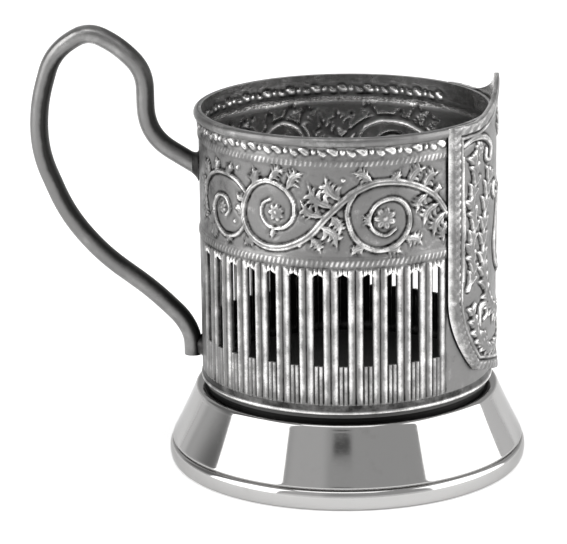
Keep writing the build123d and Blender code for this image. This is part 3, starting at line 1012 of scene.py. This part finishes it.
# %% Lines of the panel's ornament
SPRAYS = (
    ([(2.0, 37.0), (7.4, 37.6), (12.6, 41.6), (15.4, 48.6), (15.8, 57.0), (14.4, 65.6), (11.6, 73.0)],
     [0.6, 0.6, 0.35], 13, 4.4, 1.0),
    ([(22.6, 46.4), (20.4, 51.0), (21.6, 56.4), (19.8, 61.8), (21.4, 67.2), (19.2, 72.4), (20.6, 77.8)],
     [0.6, 0.75, 0.6, 0.3], 12, 3.6, 0.95),
    ([(4.0, 30.0), (9.0, 28.9), (14.6, 30.6), (19.0, 35.4), (20.8, 41.4)], [0.5, 0.7, 0.35], 9, 3.2, 0.9),
)
SCROLLS = (
    [(24.4, 80.6), (20.0, 81.6), (14.6, 80.8), (11.0, 78.2), (11.6, 75.4), (14.2, 75.8), (14.0, 78.0)],
    [(17.4, 36.8), (17.2, 40.6), (14.2, 41.2), (13.4, 38.6), (15.2, 37.6)],
    [(24.8, 49.0), (24.9, 56.0), (24.4, 63.0), (24.9, 70.0), (24.6, 78.0)],
)
LYRE_ARM = [(2.2, 47.0), (6.2, 49.6), (7.6, 54.4), (5.6, 59.4), (4.4, 63.6), (5.4, 67.4), (8.0, 68.6),
            (9.0, 66.6), (7.6, 65.4)]
print(len(SPRAYS), "sprays and", len(SCROLLS), "scrolls on each side")

# %% Laurel and scrolls of the panel
PANEL_OUTLINE = 0.18


def on_side(sign, line):
    """A smooth line through points that are mirrored to one side of the panel."""
    return smooth_line([(sign * x, z) for x, z in line])


def spray(stem, widths, pairs, reach, width):
    """A stem with pairs of leaves along it."""
    count = len(stem) - 1
    for step in np.linspace(0.05, 0.94, pairs):
        at = int(step * count)
        root, way = stem[at], stem[min(at + 3, count)] - stem[at]
        way = way / max(np.hypot(*way), 1e-6)
        for turn in (-1, 1):
            out = np.array([way[0] - turn * 0.8 * way[1], way[1] + turn * 0.8 * way[0]])
            leaf(shield, root, root + reach * out / np.hypot(*out), -0.14 * turn, width, 0.48)
    shield.stroke(stem, widths, 0.52, vein=0.1, outline=PANEL_OUTLINE)


for sign in (-1, 1):
    for line, widths, pairs, reach, width in SPRAYS:
        spray(on_side(sign, line), widths, pairs, reach, width)
    for line in SCROLLS:
        shield.stroke(on_side(sign, line), [0.5, 0.8, 0.6, 0.4], 0.5, vein=0.1, outline=PANEL_OUTLINE)
    shield.stroke(on_side(sign, LYRE_ARM), [0.8, 1.1, 0.9, 0.6], 0.52, vein=0.16, outline=PANEL_OUTLINE)
    rosette(shield, (sign * 15.4, 32.6), 2.6, 7)
    rosette(shield, (sign * 17.6, 78.8), 1.9, 7)
print(2 * len(SPRAYS), "sprays and", 2 * len(SCROLLS), "scrolls drawn")

# %% Lyre and palmette of the panel
STRING_LOW, STRING_HIGH = 50.4, 65.4
PALMETTE = np.array([0, 79.4])
for x in (-2.4, -1.2, 0.0, 1.2, 2.4):
    shield.stroke([(x, STRING_LOW), (x, STRING_HIGH)], [0.16, 0.16], 0.3, outline=0.04)
shield.stroke([(-6.6, 66.0), (6.6, 66.0)], [0.7, 0.7], 0.5)
shield.stroke([(-3.4, 46.6), (3.4, 46.6)], [0.6, 1.3, 0.6], 0.5)
for turn in np.linspace(-62, 62, 7):
    way = np.array([np.sin(np.radians(turn)), np.cos(np.radians(turn))])
    reach = 8.2 - 0.045 * abs(turn)
    leaf(shield, PALMETTE + 1.2 * way, PALMETTE + reach * way, 0.0, 0.85, 0.48)
bead(shield, PALMETTE - (0, 0.2), 1.3, 0.5)
rosette(shield, (0, 31.0), 3.0, 9)
print("lyre and palmette drawn")

# %% Border of the panel
BORDER_WIDTH = 2.3
MOULDING_AT, MOULDING_HALF = 1.05, 1.15
ROPE_WIDTH, ROPE_PITCH, ROPE_DEPTH = 1.9, 1.9, 0.10
LINE_AT, LINE_HALF, LINE_RISE = 2.95, 0.4, 0.3
PANEL_CUT = -0.25
moulding = PANEL_BORDER * half_round(panel_edge, MOULDING_AT, MOULDING_HALF)
rope = ROPE_DEPTH * np.cos(2 * np.pi * (np.abs(panel_s) * 0.6 + panel_z) / ROPE_PITCH)
rope = rope * (panel_edge < ROPE_WIDTH) * (moulding > 0.1)
panel_height = np.where(panel_edge < BORDER_WIDTH, np.maximum(moulding + rope, -0.1), shield.height)
inner_line = LINE_RISE * half_round(panel_edge, LINE_AT, LINE_HALF)
by_the_line = (panel_edge > 2.4) & (panel_edge < 3.5)
panel_height = np.where(by_the_line, np.maximum(panel_height, inner_line), panel_height)
panel_height = np.clip(panel_height, PANEL_CUT, PANEL_BORDER)
print("panel relief from %.2f to %.2f mm" % (panel_height.min(), panel_height.max()))

# %% Points of the panel
BACK_STEP = 13


def on_cylinder(radius, y, z):
    """Points on the front of a cylinder round the cup's axis, given sideways and up."""
    return np.stack([np.sqrt(radius ** 2 - y ** 2), y, z], -1).reshape(-1, 3)


y_grid = np.broadcast_to(panel_y[:, None], panel_z.shape)
back_rows = np.arange(0, PANEL_ROWS, BACK_STEP)
panel_front = on_cylinder(PANEL_IN + PANEL_PLATE + panel_height, y_grid, panel_z)
panel_back = on_cylinder(PANEL_IN, y_grid[:, back_rows], panel_z[:, back_rows])
print(len(panel_front), "points in front,", len(panel_back), "behind")

# %% Panel piece
PANEL_EDGE_TONE, PANEL_BACK_TONE, PANEL_TONE_MOST = 0.58, 0.8, 0.82
panel_wide, panel_tall, panel_deep = len(panel_y), PANEL_ROWS, len(back_rows)
back_start = panel_wide * panel_tall
panel_faces = grid_faces(panel_wide, panel_tall) + grid_faces(panel_wide, panel_deep, back_start, True)
for column in range(panel_wide - 1):
    bottom, bottom_back = column * panel_tall, back_start + column * panel_deep
    top, top_back = bottom + panel_tall - 1, bottom_back + panel_deep - 1
    panel_faces.append([top, top + panel_tall, top_back + panel_deep, top_back])
    panel_faces.append([bottom + panel_tall, bottom, bottom_back, bottom_back + panel_deep])
for column, order in ((0, 1), (panel_wide - 1, -1)):
    side_front = [column * panel_tall + row for row in range(panel_tall)]
    side_back = [back_start + column * panel_deep + row for row in range(panel_deep - 1, -1, -1)]
    panel_faces.append((side_front + side_back)[::order])
panel_tone = np.where(panel_edge < 0.5, PANEL_EDGE_TONE, relief_value(panel_height, 1.7, 14) - 0.04)
panel_tone = np.clip(panel_tone, 0, PANEL_TONE_MOST)
panel_relief = np.concatenate([panel_tone.ravel(), np.full(len(panel_back), PANEL_BACK_TONE)])
make_piece("front_panel_relief", np.vstack([panel_front, panel_back]), panel_faces, sleeve_silver,
           ["front_panel"], panel_relief, crease=62.0)

# %% [markdown]
# ## Handle
# The handle is one strap, rolled with a crowned back and bent cold: out from the wall, up round a high
# loop, and down in a long tail that lies on the wall. Its middle line is rounded at every bend, and a
# full oval section is carried along it. A bevelled curve could do that too, but it can't cut the first
# ring to the round wall or narrow the tail in its width alone. The side that faces the cup is painted
# darker as painted shade, so the back stays brighter.

# %% Corners of the strap
STRAP_WIDTH, STRAP_THICK = 5.6, 4.2
LOOP = [(12.2, -7.1), (12.3, 8.2), (18.4, 14.3), (25.4, 17.9), (33.7, 12.6), (37.4, 0.0), (37.4, -11.3)]
TAIL = [(31.4, 38.8), (23.4, 29.0), (11.5, 20.1), (4.5, 13.2)]
JOINT_DROP = 14.7
LAP_TOP, LAP_END = LOW_EDGE + 8.8, LOW_EDGE + 4.2
lap_x = -(SOLDER_OUT + 0.1 + STRAP_THICK / 2)
strap_corners = [(-WALL_OUT, RIM - JOINT_DROP)]
strap_corners += [(-WALL_OUT - out, RIM + rise) for out, rise in LOOP]
strap_corners += [(-WALL_OUT - out, LOW_EDGE + rise) for out, rise in TAIL]
strap_corners += [(lap_x, LAP_TOP), (lap_x, LAP_END)]
print(len(strap_corners), "corners from the joint to the end of the tail")

# %% Middle line of the strap
BEND_SHARE = 0.48


def bend(start, corner, end, count):
    """A rounded bend that leaves one line for the next at a corner."""
    t = np.linspace(0, 1, count)[:, None]
    return (1 - t) ** 2 * start + 2 * t * (1 - t) * corner + t ** 2 * end


def rounded_route(corners):
    """Runs and bends through the corners; every bend takes its share of the shorter run."""
    line = [corners[0]]
    for before, at, after in zip(corners, corners[1:], corners[2:]):
        reach = BEND_SHARE * min(np.linalg.norm(at - before), np.linalg.norm(after - at))
        start = at + reach * (before - at) / np.linalg.norm(before - at)
        end = at + reach * (after - at) / np.linalg.norm(after - at)
        line.extend(bend(start, at, end, 14))
    return np.vstack(line + [corners[-1]])


def even_steps(line, step):
    """The same line with points at even distances."""
    run = np.r_[0, np.cumsum(np.linalg.norm(np.diff(line, axis=0), axis=1))]
    keep = np.r_[True, np.diff(run) > 1e-6]
    at = np.linspace(0, run[-1], int(run[-1] / step))
    return np.stack([np.interp(at, run[keep], line[keep, k]) for k in (0, 1)], -1)


strap_line = even_steps(rounded_route(np.array(strap_corners)), 0.55)
for _ in range(2):
    strap_line[1:-1] = (strap_line[:-2] + 2 * strap_line[1:-1] + strap_line[2:]) / 4
print("strap is %.0f mm long" % np.linalg.norm(np.diff(strap_line, axis=0), axis=1).sum())


# %% Rings of the strap
SIDE_ROUND, BACK_ROUND = 0.86, 0.92
TAIL_RINGS, TAIL_WIDTH = 8, 0.65


def strap_section(points=36):
    """Section of the strap, a full oval. Across and depth in millimetres."""
    turn = np.linspace(0, 2 * np.pi, points, endpoint=False)
    c, s = np.cos(turn), np.sin(turn)
    across = STRAP_WIDTH / 2 * np.sign(c) * np.abs(c) ** SIDE_ROUND
    depth = STRAP_THICK / 2 * np.sign(s) * np.abs(s) ** BACK_ROUND
    return np.stack([across, -depth], -1)


section = strap_section()
tangent = np.gradient(strap_line, axis=0)
tangent /= np.linalg.norm(tangent, axis=1)[:, None]
swell = np.ones(len(strap_line))
swell[-TAIL_RINGS:] = TAIL_WIDTH + (1 - TAIL_WIDTH) * half_round(np.linspace(0, 0.92, TAIL_RINGS), 0, 1)
across = section[None, :, 0] * swell[:, None]
depth = section[None, :, 1]
strap_points = np.stack([strap_line[:, None, 0] - tangent[:, None, 1] * depth, across,
                         strap_line[:, None, 1] + tangent[:, None, 0] * depth], -1)
start_way = np.array([tangent[0, 0], 0.0, tangent[0, 1]])
for k, point in enumerate(strap_points[0]):
    surface_x = -np.sqrt(SOLDER_OUT ** 2 - point[1] ** 2)
    strap_points[0, k] = point + start_way * (surface_x - point[0]) / start_way[0]
print(len(strap_line), "rings of", len(section), "points")

# %% Strap piece
STRAP_TONE, THUMB_SHINE, OUTER_LOOP_DARKENING, CUP_SIDE_SHADE = 0.57, 0.05, 0.12, 0.48
THUMB_FROM, THUMB_TO = RIM + 8.0, RIM + 15.0
OUTER_FROM, OUTER_TO = 60.0, 70.0
facing_cup = -tangent[:, None, 1] * section[None, :, 1] / STRAP_THICK * 2
thumb_rest = ramp(strap_line[:, 1], THUMB_FROM, THUMB_TO)
outer_side = ramp(-strap_line[:, 0], OUTER_FROM, OUTER_TO) * (1 - thumb_rest)
# The strap gets darker on the part of the loop farthest from the cup, except at the thumb rest.
along_strap = STRAP_TONE + THUMB_SHINE * thumb_rest - OUTER_LOOP_DARKENING * outer_side
# The side of the strap that faces the cup is darkened as painted shade.
strap_relief = along_strap[:, None] - CUP_SIDE_SHADE * ramp(facing_cup, -0.1, 0.7)
strap_faces = loop_faces(len(strap_line), len(section))
make_piece("handle_strap", strap_points.reshape(-1, 3), strap_faces, strap_silver, ["handle"],
           np.clip(strap_relief, 0, 1).ravel(), crease=60.0)

# %% [markdown]
# ## Foot
# The foot is spun from one disc on a lathe: a flat deck, a rounded shoulder, a long flank and a hem,
# standing on a rounded band. A spun form is a profile turned round the axis. It is polished to a mirror,
# so its curve has to be smooth, and its profile gets many points.

# %% Line of the bell
SHOULDER, HEM = np.array([35.7, 18.5]), np.array([42.0, 5.0])
SHOULDER_ROUND, FLANK_HOLLOW, HEM_POINTS = 0.8, 0.12, 5
down_flank = (HEM - SHOULDER) / np.linalg.norm(HEM - SHOULDER)
shoulder = bend(SHOULDER - (SHOULDER_ROUND, 0), SHOULDER, SHOULDER + SHOULDER_ROUND * down_flank, 9)
run_down = np.linspace(0.1, 0.955, 40)[:, None]
flank = SHOULDER + run_down * (HEM - SHOULDER)
flank = flank + FLANK_HOLLOW * np.sin(np.pi * run_down) * (down_flank[1], -down_flank[0])
hem = bend(flank[-1], HEM - (0.02, -0.06), HEM - (0.75, -0.05), HEM_POINTS + 1)[1:]
bell_line = np.vstack([shoulder, flank, hem])
print("bell line has", len(bell_line), "points")

# %% Foot bell and band
FOOT_STEPS = 288
BELL_WALL = 1.0
DECK_HOLE, DECK_TOP = 29.0, 18.5
DECK_UNDER = DECK_TOP - BELL_WALL
foot_turn = np.linspace(0, 2 * np.pi, FOOT_STEPS, endpoint=False)


def spun_piece(name, profile, node_name):
    """A closed profile spun round the axis as a polished piece of the foot."""
    make_piece(name, round_points(profile, foot_turn), loop_faces(FOOT_STEPS, len(profile), closed=True),
               foot_mirror, [node_name], crease=55.0)


slope = np.gradient(bell_line, axis=0)
inward = np.stack([slope[:, 1], -slope[:, 0]], -1) / np.linalg.norm(slope, axis=1)[:, None]
bell_inside = (bell_line + inward * BELL_WALL)[:-HEM_POINTS]
bell_inside[:, 1] = np.clip(bell_inside[:, 1], HEM[1] + 0.05, DECK_UNDER)
deck = [(DECK_HOLE, DECK_UNDER), (DECK_HOLE, DECK_TOP - 0.2), (DECK_HOLE + 0.2, DECK_TOP), (32.0, DECK_TOP)]
spun_piece("foot_bell", np.vstack([deck, bell_line, bell_inside[::-1]])[::-1], "foot_skirt")
round_band = smooth_line([(41.45, 0.0), (42.0, 0.45), (42.36, 1.3), (42.5, 2.5), (42.4, 3.5), (42.16, 4.2),
                          (41.8, 4.6), (41.3, 4.78)], 6)
spun_piece("foot_band", np.vstack([(40.4, 0.0), round_band, (41.2, 5.0), (40.4, 5.0)]), "foot_ring")

# %% [markdown]
# ## Solder and floor disc
# Where the strap meets the wall at the top, solder has crept up round it as a small fillet. It is a loop
# of sections that grow towards the wall, closed on itself inside the strap. Along both sides of the tail
# it lies as a hollow bead that thins out at its ends. The floor is a plain disc, with the film of solder
# under the sleeve filled, so that no light slips in between them.

# %% Solder collar
COLLAR_LOOP = ((0.0, 0.95), (0.35, 0.5), (0.9, 0.2), (1.7, 0.02), (1.7, -0.4), (0.0, -0.4))
SOLDER_DARK_AND_SHADE = 0.08
strap_start = np.array([strap_line[0, 0], 0, strap_line[0, 1]])
collar_points = []
for run_out, grow in COLLAR_LOOP:
    wider = section[:, 0] * (1 + grow / STRAP_WIDTH * 2)
    thicker = section[:, 1] * (1 + grow / STRAP_THICK * 2)
    flat = strap_start + np.stack([-start_way[2] * thicker, wider, start_way[0] * thicker], -1)
    to_wall = (-np.sqrt(SOLDER_OUT ** 2 - flat[:, 1] ** 2) - flat[:, 0]) / start_way[0]
    collar_points.append(flat + start_way * (to_wall + run_out)[:, None])
collar_points = np.stack(collar_points, 1).reshape(-1, 3)
collar_faces = loop_faces(len(section), len(COLLAR_LOOP), closed=True, flip=True)
# The collar's near black is partly the solder's own dark grey and partly painted shade at the joint.
make_piece("handle_solder_collar", collar_points, collar_faces, solder_grey, ["handle_upper_solder"],
           np.full(len(collar_points), SOLDER_DARK_AND_SHADE), crease=80.0)

# %% Solder beads of the lap
LAP_BEAD_MIDDLE, LAP_BEAD_HALF = LOW_EDGE + 6.5, 2.25
LAP_BEAD_START, LAP_BEAD_ENDS, LAP_BEAD_REACH, LAP_BEAD_RISE = 1.6, 1.0, 3.0, 1.9
along_bead = np.linspace(-1, 1, 29)
over_bead = np.linspace(0, 1, 13)
bead_swell = ((1 - along_bead ** 4) * (1 + 0.1 * np.sin(5 * along_bead)))[:, None]
bead_side = LAP_BEAD_START + over_bead * (LAP_BEAD_ENDS + (LAP_BEAD_REACH - LAP_BEAD_ENDS) * bead_swell)
bead_top = WALL_OUT - 0.1 + LAP_BEAD_RISE * bead_swell * (1 - over_bead) ** 1.6
bead_side = np.hstack([bead_side, bead_side[:, ::-1]])
bead_out = np.hstack([bead_top, np.full_like(bead_top, WALL_OUT - 0.3)])
bead_height = np.broadcast_to((LAP_BEAD_MIDDLE + LAP_BEAD_HALF * along_bead)[:, None], bead_side.shape)
bead_x = -np.sqrt(bead_out ** 2 - bead_side ** 2)
bead_points = [np.stack([bead_x, hand * bead_side, bead_height], -1).reshape(-1, 3) for hand in (1, -1)]
near_bead = loop_faces(*bead_side.shape)
far_bead = [[bead_side.size + k for k in face[::-1]] for face in near_bead]
bead_shine = np.tile(SOLDER_DARK_AND_SHADE + 0.5 * np.sin(np.pi * over_bead) ** 2, 4 * len(along_bead))
make_piece("handle_solder_beads", np.vstack(bead_points), near_bead + far_bead, solder_grey,
           ["handle_lower_solder"], bead_shine, crease=70.0)

# %% Floor disc
DISC_RADIUS, DISC_UNDER, DISC_STEPS = 33.9, 19.6, 256
disc_turn = np.linspace(0, 2 * np.pi, DISC_STEPS, endpoint=False)
disc_ring = np.stack([DISC_RADIUS * np.cos(disc_turn), DISC_RADIUS * np.sin(disc_turn)], -1)
disc_points = np.vstack([np.c_[disc_ring, np.full(DISC_STEPS, z)] for z in (DISC_UNDER, LOW_EDGE)])
disc_faces = [list(range(DISC_STEPS - 1, -1, -1)), list(range(DISC_STEPS, 2 * DISC_STEPS))]
for k in range(DISC_STEPS):
    after = (k + 1) % DISC_STEPS
    disc_faces.append([k, after, DISC_STEPS + after, DISC_STEPS + k])
# The disc is painted near black as painted shade inside the cup.
make_piece("floor_disc", disc_points, disc_faces, disc_shade_metal, ["floor_plate"], crease=40.0)

# %% [markdown]
# ## Pieces that keep their solids
# The neck ring and the solder of the seam are plain, so their solids stay and only take a finish.
# The neck sits in the deep groove under the sleeve and is painted almost black, a painted shade for that
# groove.

# %% Finishes of the plain solids
# The neck ring's near black is painted shade in the groove.
groove_shade_metal = plain_metal("groove shade", value=0.015, roughness=0.5, stain=0.2, grain=0.6, scratches=0.3)
for node_name, finish in (("neck_ring", groove_shade_metal), ("sleeve_seam_solder", solder_grey)):
    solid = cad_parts[node_name]
    solid.data.materials.clear()
    solid.data.materials.append(finish)
print("plain solids finished")

# %% [markdown]
# ## Stage and light
# A silver holder shows little of itself and much of the room. The floor and the foot of the walls are
# white. The room above them is a middling grey with one dark corner, one paler wall and a small dark
# patch high on the camera's side, so that the metal has something to show. A soft box stands at each
# side to draw the bright patches on the foot, and one hangs overhead for the relief.

# %% Floor
FLOOR_HALF = 60.0
PAPER_WHITE = 0.93
NEAR_GLOW, FAR_GLOW = 0.3, 0.55
floor_mesh = bpy.data.meshes.new("floor")
floor_corners = [(FLOOR_HALF * x, FLOOR_HALF * y, 0) for x, y in ((-1, -1), (1, -1), (1, 1), (-1, 1))]
floor_mesh.from_pydata(floor_corners, [], [(0, 1, 2, 3)])
floor = bpy.data.objects.new("floor", floor_mesh)
bpy.context.scene.collection.objects.link(floor)
paper = bpy.data.materials.new("white paper")
paper.use_nodes = True
paper_tree = paper.node_tree
paper_shader = paper_tree.nodes["Principled BSDF"]
paper_shader.inputs["Base Color"].default_value = grey(PAPER_WHITE)
paper_shader.inputs["Roughness"].default_value = 0.9
rays = add_node(paper_tree, "ShaderNodeLightPath")
seen = math_node(paper_tree, "MAXIMUM", rays.outputs["Is Camera Ray"], rays.outputs["Is Glossy Ray"])
seen = math_node(paper_tree, "MAXIMUM", seen, rays.outputs["Is Transmission Ray"])
on_floor = add_node(paper_tree, "ShaderNodeTexCoord")
away = add_node(paper_tree, "ShaderNodeVectorMath", operation="LENGTH")
paper_tree.links.new(on_floor.outputs["Object"], away.inputs[0])
glow_share = remap(paper_tree, away.outputs["Value"], 0.6, 1.2, NEAR_GLOW, FAR_GLOW)
glow = math_node(paper_tree, "MULTIPLY", seen, glow_share)
paper_shader.inputs["Emission Color"].default_value = (1, 1, 1, 1)
paper_tree.links.new(glow, paper_shader.inputs["Emission Strength"])
floor_mesh.materials.append(paper)
print("floor of white paper laid")

# %% Compass of the world
world = bpy.data.worlds.new("studio")
bpy.context.scene.world = world
world.use_nodes = True
sky = world.node_tree
direction = add_node(sky, "ShaderNodeTexCoord")
split = add_node(sky, "ShaderNodeSeparateXYZ")
sky.links.new(direction.outputs["Generated"], split.inputs["Vector"])
level_way = add_node(sky, "ShaderNodeVectorMath", operation="MULTIPLY")
level_way.inputs[1].default_value = (1.0, 1.0, 0.0)
sky.links.new(direction.outputs["Generated"], level_way.inputs[0])
compass = add_node(sky, "ShaderNodeVectorMath", operation="NORMALIZE")
sky.links.new(level_way.outputs["Vector"], compass.inputs[0])


def toward(azimuth, half_angle, soft):
    """1 for directions near an azimuth, counted from the camera's side, positive to the right."""
    dot = add_node(sky, "ShaderNodeVectorMath", operation="DOT_PRODUCT")
    a = np.radians(azimuth)
    dot.inputs[1].default_value = (float(np.sin(a)), float(-np.cos(a)), 0.0)
    sky.links.new(compass.outputs["Vector"], dot.inputs[0])
    inner, outer = np.cos(np.radians(half_angle - soft)), np.cos(np.radians(half_angle + soft))
    return remap(sky, dot.outputs["Value"], float(outer), float(inner))


def product(first, second):
    """Two sockets or numbers of the world's shader multiplied."""
    return math_node(sky, "MULTIPLY", first, second)


print("world starts with", len(sky.nodes), "nodes")

# %% Light of the world
HORIZON, ROOM_GREY = 1.0, 0.55
DARK_CORNER, DARK_PATCH, PALE_WALL = 0.3, 0.42, 0.16
WALL_FOOT, CORNER_FOOT, PATCH_FOOT, PATCH_HEAD = (0.1, 0.25), (0.03, 0.08), (0.465, 0.48), (0.515, 0.5)
rise = split.outputs["Z"]
room = remap(sky, rise, *WALL_FOOT, HORIZON, ROOM_GREY)
dark_corner = product(toward(-112, half_angle=17, soft=4), remap(sky, rise, *CORNER_FOOT))
room = math_node(sky, "SUBTRACT", room, product(dark_corner, DARK_CORNER), clamp=True)
dark_patch = product(toward(-2, half_angle=6, soft=3), remap(sky, rise, *PATCH_FOOT))
dark_patch = product(dark_patch, remap(sky, rise, *PATCH_HEAD))
room = math_node(sky, "SUBTRACT", room, product(dark_patch, DARK_PATCH))
room = math_node(sky, "ADD", room, product(toward(-27, half_angle=13, soft=4), PALE_WALL))
sky.links.new(room, sky.nodes["Background"].inputs["Color"])
print("world", len(sky.nodes), "nodes")


# %% Soft boxes
def soft_box(name, place, width, height, radiance, aim=(0.0, 0.0, 0.05)):
    """An area lamp that faces the holder, with the brightness that its reflection shows."""
    lamp = bpy.data.lights.new(name, "AREA")
    lamp.shape = "RECTANGLE"
    lamp.size, lamp.size_y = width, height
    lamp.energy = radiance * np.pi * width * height
    box_object = bpy.data.objects.new(name, lamp)
    bpy.context.scene.collection.objects.link(box_object)
    back = np.array(place) - np.array(aim)
    back = back / np.linalg.norm(back)
    side = np.cross((0.0, 0.0, 1.0), back)
    side = side / np.linalg.norm(side)
    matrix = np.eye(4)
    matrix[:3] = np.stack([side, np.cross(back, side), back, place], axis=1)
    box_object.matrix_world = Matrix(matrix.tolist())


def round_the_table(azimuth, elevation, distance):
    """A place seen from the holder at an azimuth from the camera's side, positive to the right."""
    a, e = np.radians(azimuth), np.radians(elevation)
    level = distance * np.cos(e)
    return (level * np.sin(a), -level * np.cos(a), distance * np.sin(e) + 0.05)


BOX_MIDDLE, BOX_TALL, BOX_RADIANCE = 0.62, 1.2, 2.4
for name, azimuth, width in (("left box", -67, 0.74), ("right box", 86, 0.95)):
    place = round_the_table(azimuth, 0, 0.8)[:2] + (BOX_MIDDLE,)
    soft_box(name, place, width, BOX_TALL, BOX_RADIANCE, aim=(0.0, 0.0, BOX_MIDDLE))
soft_box("top box", round_the_table(-10, 76, 0.9), width=0.6, height=0.4, radiance=1.8)
